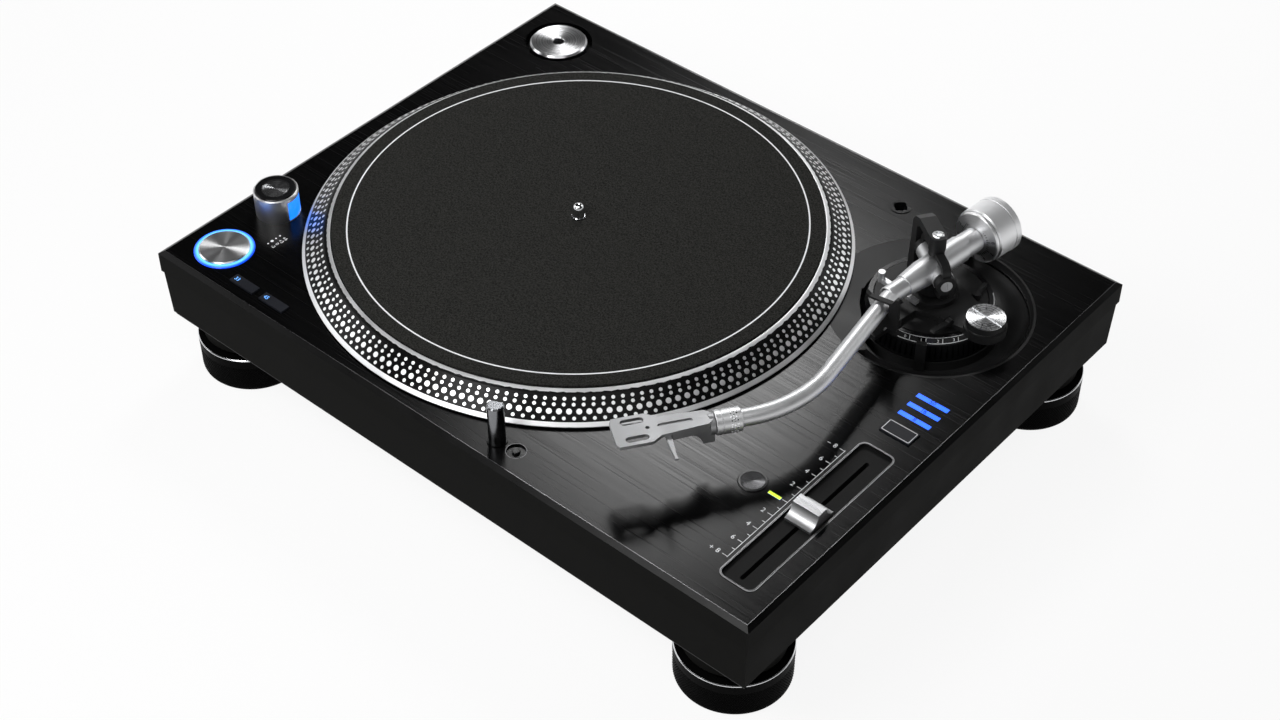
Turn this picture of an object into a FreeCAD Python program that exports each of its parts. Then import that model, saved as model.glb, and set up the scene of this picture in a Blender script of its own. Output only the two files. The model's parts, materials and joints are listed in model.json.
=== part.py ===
"""A direct-drive record player for mixing: cabinet, platter, S-shaped arm, feet and controls.

Everything is in millimetres. +Z is up and the origin is on the floor, under the middle of the cabinet.
The front is towards -Y and the arm stands at the back right.
"""
import FreeCAD, Part
import math
import os
import re

import Sketcher

SIZES = {
    # Cabinet
    "case_width": 453.0,
    "case_depth": 353.0,
    "deck_height": 87.4,
    "lip_height": 15.5,
    "edge_drop": 1.9,
    "edge_inset": 3.0,
    "deck_thickness": 8.0,
    "lip_wall": 5.0,
    "body_inset": 1.0,
    "body_taper": 1.0,
    "body_bottom": 39.0,
    "body_wall": 4.0,
    "bottom_sheet": 2.0,
    "bottom_inset": 1.0,
    "post_radius": 5.0,
    "post_half": 8.0,
    "screw_spread": 140.0,
    "screw_shank": 1.5,
    "screw_head": 3.0,
    "screw_head_height": 1.6,
    "screw_length": 9.0,
    "seat_gap": 0.1,
    "overcut": 1.0,
    "run_gap": 0.05,
    "button_gap": 0.25,
    # Feet
    "foot_inset_across": 34.5,
    "foot_inset_along": 34.5,
    "foot_radius": 33.3,
    "foot_height": 25.0,
    "foot_bevel": 1.0,
    "foot_recess_radius": 27.0,
    "foot_recess_depth": 6.0,
    "foot_knurl_depth": 0.8,
    "foot_knurl_low": 2.0,
    "foot_knurl_high": 18.0,
    "foot_knurl_half": 1.6,
    "foot_knurl_count": 44,
    "boss_radius": 29.5,
    "boss_low": 27.5,
    "boss_height": 23.0,
    "stud_radius": 4.0,
    "stud_collar": 12.0,
    "stud_end": 6.0,
    "stud_collar_height": 2.0,
    # Platter and drive
    "platter_from_left": 181.9,
    "platter_y": -1.3,
    "platter_radius": 166.0,
    "platter_clear": 1.1,
    "rim_low_radius": 164.0,
    "rim_band": 2.5,
    "rim_high_radius": 152.0,
    "rim_cone": 12.0,
    "rim_crest_radius": 149.0,
    "rim_rise": 13.3,
    "mat_recess": 0.8,
    "platter_recess_radius": 148.2,
    "platter_web": 4.0,
    "platter_rim_wall": 7.0,
    "hub_radius": 20.0,
    "hub_rise": 0.5,
    "hub_overlap": 2.0,
    "hub_seat": 1.0,
    "hub_slope": 3.0,
    "rim_web": 4.0,
    "rim_web_drop": 1.5,
    "rim_foot": 0.6,
    "magnet_inner": 46.0,
    "magnet_outer": 62.0,
    "magnet_rise": 1.5,
    "mat_radius": 147.5,
    "mat_thickness": 2.0,
    "mat_hole": 4.5,
    "spindle_radius": 3.6,
    "journal_radius": 3.0,
    "shoulder_radius": 4.2,
    "shoulder_rise": 0.3,
    "spindle_rise": 11.5,
    "spindle_reach": 30.4,
    "rotor_flange": 14.0,
    "rotor_rise": 0.1,
    "well_radius": 163.0,
    "well_depth": 3.0,
    "bearing_radius": 9.0,
    "bearing_flange": 17.0,
    "bearing_flange_height": 2.4,
    "bearing_end": 4.0,
    "stator_outer": 60.0,
    "stator_inner": 22.0,
    "stator_height": 3.6,
    "stator_board": 1.2,
    "coil_radius": 9.0,
    "coil_ring": 48.0,
    "coil_count": 12,
    # Adapter for large-hole records
    "adapter_from_left": 34.7,
    "adapter_from_back": 34.6,
    "adapter_radius": 19.25,
    "adapter_hole": 3.7,
    "adapter_rise": 1.0,
    "adapter_bevel": 1.2,
    "adapter_mouth": 0.5,
    "adapter_dip": 0.4,
    "adapter_pocket": 3.4,
    "adapter_pocket_from": 11.5,
    "adapter_pocket_depth": 4.0,
    "adapter_well_radius": 22.65,
    "adapter_well_depth": 6.0,
    # Start button and its light ring
    "start_from_left": 28.9,
    "start_from_front": 27.5,
    "start_radius": 15.5,
    "start_rise": 1.7,
    "start_bevel": 0.9,
    "start_bevel_drop": 0.6,
    "start_ring_outer": 18.3,
    "start_ring_rise": 0.7,
    "start_ring_bevel": 0.6,
    "start_ring_drop": 0.4,
    "start_ring_room": 0.6,
    "flange_reach": 2.0,
    "flange_height": 2.0,
    "cap_flange": 1.2,
    "cap_flange_height": 1.2,
    "cap_bevel": 0.4,
    "ring_spigot": 2.0,
    # Strobe tower and power dial
    "tower_from_left": 26.2,
    "tower_from_front": 73.4,
    "tower_radius": 13.7,
    "tower_height": 17.0,
    "tower_spigot": 9.0,
    "tower_rim": 1.0,
    "tower_bevel": 0.5,
    "tower_bevel_drop": 0.6,
    "spigot_length": 2.0,
    "dial_depth": 2.6,
    "dial_rise": 0.5,
    "dial_centre": 8.6,
    "dial_shaft": 3.0,
    "dial_reach": 4.0,
    "dial_bevel": 0.5,
    "dial_face_step": 0.3,
    "dial_face_drop": 0.7,
    "dial_notch": 0.5,
    "dial_notch_half": 1.0,
    "dial_notch_length": 2.5,
    "dial_notch_count": 30,
    "window_turn": 33.0,
    "window_half_width": 9.6,
    "window_low": 0.8,
    "window_high": 13.9,
    "window_thickness": 3.0,
    "window_back": 4.1,
    "window_half_angle": 43.5,
    "window_inset": 0.15,
    # Speed keys
    "key_from_left": 63.05,
    "key_pitch": 25.2,
    "key_from_front": 13.3,
    "key_length": 19.5,
    "key_width": 6.5,
    "key_rise": 1.1,
    # Pop-up light and its button
    "light_beside_platter": 82.6,
    "light_from_front": 16.6,
    "light_radius": 4.9,
    "light_rise": 27.1,
    "light_length": 41.0,
    "light_collar": 5.9,
    "light_collar_rise": 0.8,
    "light_sleeve_low": 44.0,
    "light_sleeve_radius": 7.5,
    "light_notch": 5.0,
    "light_turn": 84.0,
    "light_bevel": 0.8,
    "light_notch_root": 0.6,
    "light_notch_mouth": 2.6,
    "light_notch_slope": 1.5,
    "light_button_beside": 13.5,
    "light_button_behind": 0.5,
    "light_button_radius": 2.2,
    "light_dish_radius": 5.6,
    "light_dish_depth": 1.2,
    "light_button_rise": 1.6,
    # Tempo fader and its lights
    "fader_from_right": 25.85,
    "fader_from_front": 83.4,
    "fader_width": 23.4,
    "fader_length": 127.0,
    "fader_corner": 5.0,
    "fader_rim": 1.1,
    "fader_rim_rise": 0.3,
    "fader_depth": 2.0,
    "fader_flange": 1.6,
    "slot_shift": 2.2,
    "slot_half_length": 53.6,
    "slot_half_width": 1.3,
    "stem_half_width": 1.0,
    "stem_half_length": 3.0,
    "track_half_width": 6.0,
    "track_depth": 12.0,
    "track_wall": 1.5,
    "track_end": 4.0,
    "stem_clear": 1.0,
    "knob_shift": 2.1,
    "knob_width": 17.2,
    "knob_half_depth": 10.0,
    "knob_low": 0.5,
    "knob_height": 9.1,
    "knob_ridge": 3.5,
    "knob_skirt": 1.7,
    "knob_hollow": 7.5,
    "reset_from_right": 63.5,
    "reset_shift": 0.3,
    "reset_radius": 8.2,
    "reset_rise": 0.7,
    "reset_line": 1.5,
    "reset_line_width": 0.4,
    "reset_line_depth": 0.5,
    "range_shift": 0.05,
    "range_behind": 81.0,
    "range_half_width": 9.9,
    "range_half_length": 5.3,
    "range_rise": 1.0,
    "led_from_right": 48.3,
    "led_shift": 0.7,
    "led_half_length": 4.1,
    "led_half_width": 1.0,
    "bar_shift": 0.35,
    "bar_behind": 94.6,
    "bar_pitch": 8.7,
    "bar_half_length": 10.4,
    "tab_margin": 1.0,
    "bar_half_width": 1.6,
    # Headshell stand socket
    "socket_from_right": 140.6,
    "socket_from_back": 28.4,
    "socket_flange": 6.8,
    "socket_rise": 0.5,
    "socket_radius": 5.4,
    "socket_bore": 4.1,
    "socket_depth": 16.0,
    "socket_floor": 1.5,
    "socket_bevel": 0.4,
    "socket_bevel_drop": 0.2,
    "socket_notch": 5.0,
    "socket_notch_half": 1.4,
    "socket_notch_side": 0.9,
    "socket_notch_depth": 4.0,
    "socket_notch_count": 4,
    # Arm dish and height ring
    "arm_from_right": 73.9,
    "arm_from_back": 91.7,
    "arm_height": 118.5,
    "arm_heading": -96.8,
    "arm_dip": 0.55,
    "dish_radius": 61.4,
    "dish_flange": 3.0,
    "dish_lip": 60.0,
    "dish_shoulder": 57.5,
    "moat_radius": 44.5,
    "moat_depth": 12.0,
    "moat_round": 20.0,
    "moat_foot": 0.9,
    "moat_dip": 0.3,
    "flat_front_x": 55.4,
    "flat_front_y": 0.4,
    "flat_outer_y": 20.0,
    "flat_edge_x": 27.9,
    "flat_edge_y": 30.0,
    "flat_inner_x": 18.0,
    "flat_inner_y": 37.6,
    "flat_back_x": 38.0,
    "flat_back_y": 14.0,
    "flat_far": 80.0,
    "flat_cut": 40.0,
    "ridge_radius": 41.6,
    "dish_depth": 11.4,
    "dish_sheet": 2.5,
    "dish_hole": 12.0,
    "ring_radius": 40.0,
    "ring_clear": 0.3,
    "ring_wall_rise": 4.5,
    "ring_wall_height": 10.0,
    "ring_wall_radius": 38.0,
    "ring_bevel_height": 4.5,
    "ring_top_radius": 36.5,
    "ring_inner_top": 33.6,
    "ring_bore": 30.3,
    "ring_knurl_depth": 0.5,
    "ring_knurl_half": 1.3,
    "ring_knurl_low": 0.6,
    "ring_knurl_short": 1.6,
    "ring_knurl_count": 72,
    "ring_top_gap": 1.0,
    "ring_foot_in": 2.0,
    "index_width": 6.0,
    "index_reach": 44.0,
    "index_bite": 0.9,
    "index_rise": 0.8,
    "index_turn": 34.6,
    # Arm base
    "column_radius": 30.0,
    "column_bore": 12.5,
    "column_clear": 0.2,
    "base_disc": 33.0,
    "base_disc_rise": 16.4,
    "base_disc_sheet": 3.0,
    "web_sheet": 3.0,
    "web_radius": 19.6,
    "web_start": 4.0,
    "web_inset": 2.0,
    "beam_half_width": 4.5,
    "beam_end": 53.0,
    "turret_radius": 15.3,
    "turret_rise": 3.1,
    "turret_bevel": 1.2,
    "turret_face": 1.6,
    "turret_face_drop": 0.8,
    "beam_overlap": 1.0,
    "pivot_bore": 3.1,
    "pivot_depth": 11.0,
    "pivot_end_gap": 0.5,
    "skate_reach": 40.5,
    "skate_radius": 11.3,
    "skate_skirt": 12.6,
    "skate_skirt_rise": 2.1,
    "skate_height": 5.0,
    "skate_web_half": 9.0,
    "skate_shaft": 2.5,
    "skate_bore_depth": 6.0,
    "skate_shaft_reach": 4.0,
    "skate_shaft_length": 4.5,
    "skate_line_half": 0.6,
    "skate_line_depth": 0.7,
    # Gimbal
    "gimbal_turn": 61.8,
    "arch_half_width": 4.95,
    "arch_inner": 19.9,
    "arch_leg": 6.6,
    "arch_bar": 5.4,
    "arch_rise": 22.1,
    "arch_corner_reach": 23.5,
    "arch_corner_drop": 3.0,
    "arch_inner_corner": 3.0,
    "arch_foot": 2.0,
    "arch_flat_reach": 17.0,
    "arch_cheek_drop": 7.6,
    "arch_boss": 5.1,
    "arch_boss_rise": 12.9,
    "arch_boss_proud": 0.5,
    "arch_seat_over": 1.0,
    "arch_seat": 2.6,
    "arch_screw": 3.4,
    "arch_screw_rise": 0.9,
    "arch_screw_bevel": 0.4,
    "drive_half": 2.2,
    "drive_side": 0.4,
    "drive_depth": 0.8,
    "arch_pin": 1.6,
    "arch_pin_tip": 0.6,
    "arch_pin_depth": 1.0,
    "gimbal_half_width": 2.5,
    "gimbal_reach": 18.6,
    "gimbal_inner": 14.9,
    "gimbal_rise": 12.4,
    "gimbal_inner_rise": 9.2,
    "gimbal_corner": 6.0,
    "gimbal_inner_corner": 2.6,
    "gimbal_boss": 6.0,
    "gimbal_boss_end": 19.6,
    "lug_inset": 0.4,
    "foot_lug": 9.3,
    "foot_lug_gap": 0.6,
    "cup_depth": 1.2,
    "side_seat": 1.4,
    "pivot_screw": 3.5,
    "pivot_pin": 1.5,
    "pivot_cone": 1.4,
    "pivot_cone_room": 0.1,
    "pivot_proud": 0.2,
    "pivot_slot": 2.4,
    "pivot_slot_side": 0.4,
    "pivot_slot_depth": 0.7,
    "pivot_shaft": 3.0,
    # Arm
    "housing_radius": 8.0,
    "housing_back": 21.0,
    "housing_front": 12.0,
    "housing_step": 26.5,
    "housing_step_radius": 6.3,
    "sleeve_radius": 5.7,
    "sleeve_end": 40.0,
    "sleeve_bevel": 0.4,
    "sleeve_bevel_in": 0.3,
    "cross_radius": 6.3,
    "cross_reach": 14.4,
    "cup_room": 0.6,
    "cup_length": 2.1,
    "tube_radius": 5.0,
    "tube_bore": 4.2,
    "tube_start": 24.0,
    "bend_one_x": 36.1,
    "bend_one_radius": 62.5,
    "bend_two_x": 138.5,
    "bend_two_y": 29.4,
    "bend_two_radius": 72.7,
    "tube_end_x": 182.1,
    "tube_end_y": 6.0,
    "stub_radius": 7.3,
    "stub_length": 13.0,
    "stub_gap": 0.2,
    "shaft_radius": 5.0,
    "weight_front": 38.2,
    "weight_back": 57.0,
    "weight_radius": 16.8,
    "weight_bevel": 0.8,
    "weight_line": 4.6,
    "weight_line_width": 0.8,
    "weight_line_slope": 0.2,
    "weight_line_depth": 0.4,
    "weight_face": 4.0,
    "weight_hub": 5.0,
    "weight_dish": 1.6,
    "bush_radius": 7.0,
    "bush_gap": 0.4,
    "dial_radius": 15.8,
    "dial_front": 34.2,
    "dial_cone": 1.6,
    "dial_bore_gap": 0.2,
    "dial_edge": 0.6,
    "dial_edge_length": 0.5,
    "dial_back_gap": 0.3,
    "dial_recess": 0.1,
    # Collar and headshell
    "collar_radius": 6.9,
    "collar_length": 14.5,
    "collar_gap": 1.0,
    "collar_front": 4.0,
    "collar_bevel": 0.5,
    "collar_edge": 0.4,
    "collar_line_start": 0.3,
    "collar_line_foot": 0.8,
    "collar_line_end": 1.1,
    "collar_line_depth": 0.4,
    "plug_radius": 4.0,
    "plug_length": 9.0,
    "shell_front": 54.5,
    "shell_half_width": 10.8,
    "shell_shoulder": 35.0,
    "shell_neck_half": 5.4,
    "shell_waist": 29.5,
    "shell_waist_half": 7.2,
    "shell_tip_cut": 1.4,
    "shell_tip_bow": 2.8,
    "shell_top": 5.8,
    "shell_sheet": 2.2,
    "shell_wall": 6.2,
    "shell_wall_end": 23.5,
    "shell_wall_inset": 0.6,
    "shell_chin_low": 8.5,
    "shell_chin_length": 6.5,
    "shell_chin_front": 13.8,
    "shell_chin_hollow": 9.5,
    "chin_overlap": 2.0,
    "shell_flange": 6.2,
    "shell_flange_front": 2.4,
    "shell_slot_x": 42.6,
    "shell_slot_y": 6.5,
    "shell_slot_half": 4.3,
    "shell_slot_radius": 2.1,
    "shell_groove_x": 20.6,
    "shell_groove_length": 8.2,
    "shell_groove_half": 1.4,
    "shell_groove_depth": 0.8,
    "shell_hole_x": 35.6,
    "shell_hole_radius": 1.15,
    "finger_x": 26.0,
    "finger_width": 3.0,
    "finger_tip_half": 0.8,
    "finger_taper": 11.0,
    "finger_reach": 24.0,
    "finger_tip": 3.0,
    "finger_root": 2.0,
    "finger_sheet": 1.2,
    "pin_radius": 0.5,
    "pin_spread": 1.7,
    "pin_length": 2.5,
    "pin_bite": 0.5,
    # Arm rest and clip
    "rest_x": 48.0,
    "rest_y": 3.4,
    "rest_turn": 16.0,
    "rest_sheet": 3.0,
    "rest_drop": 6.1,
    "rest_half_width": 3.4,
    "rest_foot_out": 1.5,
    "rest_foot_in": 2.5,
    "rest_shoulder": 6.0,
    "rest_shoulder_in": 1.0,
    "saddle_reach": 6.0,
    "saddle_sheet": 2.0,
    "saddle_brace": 5.0,
    "clip_sheet": 3.0,
    "clip_pin_y": 8.6,
    "clip_pin_drop": 3.0,
    "clip_pin_radius": 1.1,
    "clip_eye": 3.0,
    "clip_rise": 5.1,
    "clip_roof_sheet": 1.5,
    "clip_roof_end": 6.5,
    "clip_horn_rise": 5.4,
    "clip_cheek": 4.0,
    "horn_far": 2.2,
    "horn_near": 0.8,
    "horn_foot": 1.6,
    "clip_lip": 2.4,
    "clip_lip_rise": 1.6,
    "clip_lip_drop": 0.4,
    "clip_shift": 0.3,
    "clip_pin_bite": 1.0,
    # Cue lift
    "lifter_x": 20.0,
    "lifter_y": 12.0,
    "lifter_half_width": 1.6,
    "lifter_rise": 6.2,
    "lifter_sheet": 2.5,
    "lifter_left": 22.5,
    "lifter_right": 6.0,
    "lifter_post": 2.1,
    "lifter_drop": 7.0,
    "lifter_shaft": 1.8,
    "lifter_shaft_rise": 0.6,
    "lifter_boss_drop": 1.5,
    "lifter_boss_wall": 2.0,
    "lifter_bore_room": 0.3,
    "lifter_post_in": 0.6,
    "lever_x": 15.0,
    "lever_y": 22.5,
    "lever_rise": 2.6,
    "lever_hub": 2.4,
    "lever_pin": 1.1,
    "lever_half_width": 2.0,
    "lever_length": 15.0,
    "lever_gap": 0.3,
    "lever_sheet": 3.0,
    "lever_half_height": 1.3,
    "lever_tip_cut": 1.0,
    "lever_tip_low": 0.4,
    "lever_tip": 1.4,
    "lever_tip_high": 2.2,
    "lock_across": 21.0,
    "lock_along": 15.4,
    "lock_hub": 2.6,
    "lock_height": 3.6,
    "lock_length": 11.0,
    "lock_half_width": 1.1,
    "lock_sheet": 2.0,
    "lock_turn": 97.0,
    # Rear connections and inner parts
    "jack_x": -60.0,
    "jack_half_width": 60.0,
    "jack_low": 46.0,
    "jack_high": 66.0,
    "jack_depth": 22.0,
    "jack_wall": 2.0,
    "jack_reach": 46.0,
    "jack_radius": 4.1,
    "jack_bore": 1.6,
    "jack_pitch": 18.0,
    "jack_length": 10.0,
    "jack_end": 3.0,
    "bridge_half": 6.0,
    "bridge_earth": 5.0,
    "bridge_sheet": 2.0,
    "earth_shift": 8.0,
    "earth_radius": 3.4,
    "earth_stem": 1.5,
    "earth_stem_length": 7.0,
    "earth_length": 8.0,
    "earth_knob": 4.0,
    "switch_shift": 14.0,
    "switch_half_width": 5.0,
    "switch_half_height": 2.2,
    "switch_seat": 1.0,
    "switch_travel": 4.0,
    "switch_knob_half": 2.4,
    "switch_reach": 3.0,
    "inlet_shift": 40.0,
    "inlet_half_width": 10.5,
    "inlet_half_height": 6.0,
    "inlet_depth": 12.0,
    "inlet_pin": 1.2,
    "inlet_pin_spread": 4.0,
    "inlet_wall": 2.0,
    "inlet_pin_start": 3.0,
    "inlet_pin_short": 4.0,
    "board_from_left": 106.5,
    "board_from_front": 76.5,
    "board_half_width": 60.0,
    "board_half_length": 30.0,
    "board_sheet": 1.6,
    "board_drop": 8.0,
    "stand_inset": 5.0,
    "stand_radius": 3.0,
    "supply_half_width": 28.0,
    "supply_half_length": 20.0,
    "supply_height": 22.0,
}

# Places and heights that follow from the sizes above
PLACES = {
    "foot_reach_across": "case_width / 2 - foot_inset_across",
    "foot_reach_along": "case_depth / 2 - foot_inset_along",
    "platter_x": "platter_from_left - case_width / 2",
    "adapter_x": "adapter_from_left - case_width / 2",
    "adapter_y": "case_depth / 2 - adapter_from_back",
    "start_x": "start_from_left - case_width / 2",
    "start_y": "start_from_front - case_depth / 2",
    "tower_x": "tower_from_left - case_width / 2",
    "tower_y": "tower_from_front - case_depth / 2",
    "key_left_x": "key_from_left - case_width / 2",
    "key_right_x": "key_left_x + key_pitch",
    "key_y": "key_from_front - case_depth / 2",
    "light_x": "platter_x + light_beside_platter",
    "light_y": "light_from_front - case_depth / 2",
    "light_top": "deck_height + light_rise",
    "light_button_x": "light_x + light_button_beside",
    "light_button_y": "light_y + light_button_behind",
    "fader_x": "case_width / 2 - fader_from_right",
    "fader_y": "fader_from_front - case_depth / 2",
    "slot_y": "fader_y - slot_shift",
    "knob_y": "slot_y + knob_shift",
    "reset_x": "case_width / 2 - reset_from_right",
    "reset_y": "fader_y - reset_shift",
    "range_x": "fader_x - range_shift",
    "range_y": "fader_y + range_behind",
    "led_x": "case_width / 2 - led_from_right",
    "led_y": "fader_y - led_shift",
    "bar_x": "fader_x + bar_shift",
    "bar_first_y": "fader_y + bar_behind",
    "socket_x": "case_width / 2 - socket_from_right",
    "socket_y": "case_depth / 2 - socket_from_back",
    "arm_x": "case_width / 2 - arm_from_right",
    "arm_y": "case_depth / 2 - arm_from_back",
    "platter_low": "deck_height + platter_clear",
    "rim_low_top": "platter_low + rim_band",
    "rim_high_low": "platter_low + rim_cone",
    "rim_crest": "platter_low + rim_rise",
    "platter_face": "rim_crest - mat_recess",
    "hub_low": "platter_low + hub_rise",
    "magnet_low": "platter_low + magnet_rise",
    "rotor_flange_low": "deck_height + rotor_rise",
    "spindle_top": "platter_face + spindle_rise",
    "spindle_bottom": "deck_height - spindle_reach",
    "bearing_low": "spindle_bottom - bearing_end",
    "dish_floor": "deck_height - dish_depth",
    "ring_low": "dish_floor + ring_clear",
    "ring_wall_low": "dish_floor + ring_wall_rise",
    "ring_wall_top": "ring_wall_low + ring_wall_height",
    "ring_top": "ring_wall_top + ring_bevel_height",
    "index_top": "ring_top + index_rise",
    "column_low": "dish_floor + column_clear",
    "base_disc_low": "dish_floor + base_disc_rise",
    "base_disc_top": "base_disc_low + base_disc_sheet",
    "web_top": "base_disc_top + web_sheet",
    "turret_top": "web_top + turret_rise",
    "skate_skirt_top": "web_top + skate_skirt_rise",
    "skate_top": "skate_skirt_top + skate_height",
    "arch_top": "arm_height + arch_rise",
    "arch_boss_low": "arm_height + arch_boss_rise",
    "arch_screw_top": "arch_top + arch_screw_rise",
    "rest_saddle": "arm_height - rest_drop",
    "clip_pin_height": "rest_saddle - clip_pin_drop",
    "clip_roof": "arm_height + clip_rise",
    "clip_horn": "clip_roof + clip_horn_rise",
    "lifter_post_top": "arm_height - lifter_drop",
    "lifter_low": "web_top + lifter_rise",
    "lifter_high": "lifter_low + lifter_sheet",
    "lifter_shaft_low": "base_disc_low + lifter_shaft_rise",
    "lever_height": "web_top + lever_rise",
    "earth_x": "jack_x - earth_shift",
    "switch_x": "jack_x + switch_shift",
    "inlet_x": "jack_x + inlet_shift",
    "board_x": "board_from_left - case_width / 2",
    "board_y": "board_from_front - case_depth / 2",
    "boss_top": "body_bottom + boss_height",
    "stud_top": "boss_top - stud_end",
}

doc = FreeCAD.newDocument("record_player")
sheet = doc.addObject("Spreadsheet::Sheet", "Sizes")
KNOWN = {name: str(number) for name, number in SIZES.items()}
KNOWN.update({name: f"={formula}" for name, formula in PLACES.items()})
for row, (name, content) in enumerate(KNOWN.items(), start=1):
    sheet.set(f"A{row}", name)
    sheet.set(f"B{row}", content)
    sheet.setAlias(f"B{row}", name)
doc.recompute()

NODES = []


def bind(text):
    """Turn words that are sizes into references to the sheet."""
    return re.sub(r"[a-z][a-z_]*", lambda word: f"Sizes.{word[0]}" if word[0] in KNOWN else word[0], str(text))


def value(text):
    """The number that an expression of sizes gives."""
    return float(sheet.evalExpression(bind(text)))


def vector(*texts):
    """A point whose coordinates are expressions of sizes."""
    return FreeCAD.Vector(*(value(text) for text in texts))


def plane(body, role):
    """One of a body's own origin planes."""
    return next(item for item in body.Origin.OriginFeatures if item.Role == role)


def node(name, x="0", y="0", turn="0"):
    """A new body at a place on the deck, turned about the vertical."""
    body = doc.addObject("PartDesign::Body", name)
    body.Label = name
    angle = value(turn)
    body.Placement = FreeCAD.Placement(FreeCAD.Vector(), FreeCAD.Rotation(FreeCAD.Vector(0, 0, 1), angle))
    body.setExpression("Placement.Base.x", bind(x))
    body.setExpression("Placement.Base.y", bind(y))
    NODES.append(body)
    return body


def round_edge(start, end, radius, side):
    """The arc of a given radius from start to end, bending left for side 1 and right for side -1."""
    chord = end - start
    height = math.sqrt(max(radius ** 2 - chord.Length ** 2 / 4, 0))
    normal = FreeCAD.Vector(-chord.y, chord.x, 0).normalize()
    centre = (start + end) * 0.5 + normal * height * side
    first, last = (start, end) if side > 0 else (end, start)
    angles = [math.atan2(point.y - centre.y, point.x - centre.x) for point in (first, last)]
    return Part.ArcOfCircle(Part.Circle(centre, FreeCAD.Vector(0, 0, 1), radius), *angles)


def add_ring(geometry, limits, x, y, radius):
    """Add a circle with its centre and radius tied to the sheet."""
    index = len(geometry)
    geometry.append(Part.Circle(vector(x, y, "0"), FreeCAD.Vector(0, 0, 1), value(radius)))
    limits.append((Sketcher.Constraint("DistanceX", -1, 1, index, 3, value(x)), x))
    limits.append((Sketcher.Constraint("DistanceY", -1, 1, index, 3, value(y)), y))
    limits.append((Sketcher.Constraint("Radius", index, value(radius)), radius))


def add_loop(geometry, limits, corners):
    """Add a closed outline. A corner may add a radius and a side for the edge that arrives at it."""
    first = len(geometry)
    count = len(corners)
    points = [vector(corner[0], corner[1], "0") for corner in corners]
    ends = []
    for step in range(count):
        start, end, arrival = points[step], points[(step + 1) % count], corners[(step + 1) % count]
        if len(arrival) > 2:
            side = arrival[3] if len(arrival) > 3 else 1
            geometry.append(round_edge(start, end, value(arrival[2]), side))
            limits.append((Sketcher.Constraint("Radius", first + step, value(arrival[2])), arrival[2]))
            ends.append((1, 2) if side > 0 else (2, 1))
        else:
            geometry.append(Part.LineSegment(start, end))
            ends.append((1, 2))
    for step in range(count):
        edge, after = first + step, (step + 1) % count
        x, y = corners[step][:2]
        limits.append((Sketcher.Constraint("DistanceX", -1, 1, edge, ends[step][0], value(x)), x))
        limits.append((Sketcher.Constraint("DistanceY", -1, 1, edge, ends[step][0], value(y)), y))
        limits.append((Sketcher.Constraint("Coincident", edge, ends[step][1], first + after, ends[after][0]), None))


def draw(body, name, role, loops, lift="0"):
    """A sketch on one of the body's origin planes, lifted along the plane's normal."""
    sketch = body.newObject("Sketcher::SketchObject", f"{body.Name}_{name}")
    sketch.AttachmentSupport = [(plane(body, role), "")]
    sketch.MapMode = "FlatFace"
    sketch.setExpression("AttachmentOffset.Base.z", bind(lift))
    geometry, limits = [], []
    for loop in loops:
        if loop[0] == "ring":
            add_ring(geometry, limits, *loop[1:])
        else:
            add_loop(geometry, limits, loop)
    sketch.addGeometry(geometry, False)
    sketch.addConstraint([limit for limit, _ in limits])
    for index, (_, text) in enumerate(limits):
        if text is not None:
            sketch.setExpression(f"Constraints[{index}]", bind(text))
    return sketch


def pad(body, name, loops, low, height, role="XY_Plane", both=False):
    """Raise an outline by a height."""
    sketch = draw(body, name, role, loops, low)
    feature = body.newObject("PartDesign::Pad", f"{body.Name}_{name}_pad")
    feature.Profile = sketch
    feature.setExpression("Length", bind(height))
    feature.Midplane = both
    return feature


def cut(body, name, loops, start, depth=None, role="XY_Plane", up=False, both=False):
    """Sink an outline by a depth, or right through when no depth is given."""
    sketch = draw(body, name, role, loops, start)
    feature = body.newObject("PartDesign::Pocket", f"{body.Name}_{name}_cut")
    feature.Profile = sketch
    if depth is None:
        feature.Type = "ThroughAll"
    else:
        feature.setExpression("Length", bind(depth))
    feature.Reversed = up
    feature.Midplane = both
    return feature


def turn(body, name, loops, role="XZ_Plane", axis="V_Axis", angle=None):
    """Revolve a profile about an axis of its sketch, all round or over an angle to both sides."""
    sketch = draw(body, name, role, loops)
    feature = body.newObject("PartDesign::Revolution", f"{body.Name}_{name}_turn")
    feature.Profile = sketch
    feature.ReferenceAxis = (sketch, [axis])
    if angle is None:
        feature.Angle = 360
    else:
        feature.Midplane = True
        feature.setExpression("Angle", bind(angle))
    return feature


def groove(body, name, loops, role="XZ_Plane", axis="V_Axis"):
    """Cut a revolved profile."""
    sketch = draw(body, name, role, loops)
    feature = body.newObject("PartDesign::Groove", f"{body.Name}_{name}_groove")
    feature.Profile = sketch
    feature.ReferenceAxis = (sketch, [axis])
    feature.Angle = 360
    return feature


def around(body, feature, count, axis=None):
    """Repeat a feature about the body's vertical axis, or another of its origin axes."""
    doc.recompute()
    pattern = body.newObject("PartDesign::PolarPattern", f"{feature.Name}_round")
    pattern.Originals = [feature]
    pattern.Axis = (plane(body, axis or "Z_Axis"), [""])
    pattern.Angle = 360
    pattern.Occurrences = round(value(count))
    body.Tip = pattern
    return pattern


def ring(x, y, radius):
    """A circle for a sketch."""
    return ("ring", x, y, radius)


def box(x, y, half_x, half_y):
    """A rectangle for a sketch."""
    left, right = f"{x} - ({half_x})", f"{x} + ({half_x})"
    low, high = f"{y} - ({half_y})", f"{y} + ({half_y})"
    return [(left, low), (right, low), (right, high), (left, high)]


def span(left, low, right, high):
    """A rectangle given by its sides."""
    return [(left, low), (right, low), (right, high), (left, high)]


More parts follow.
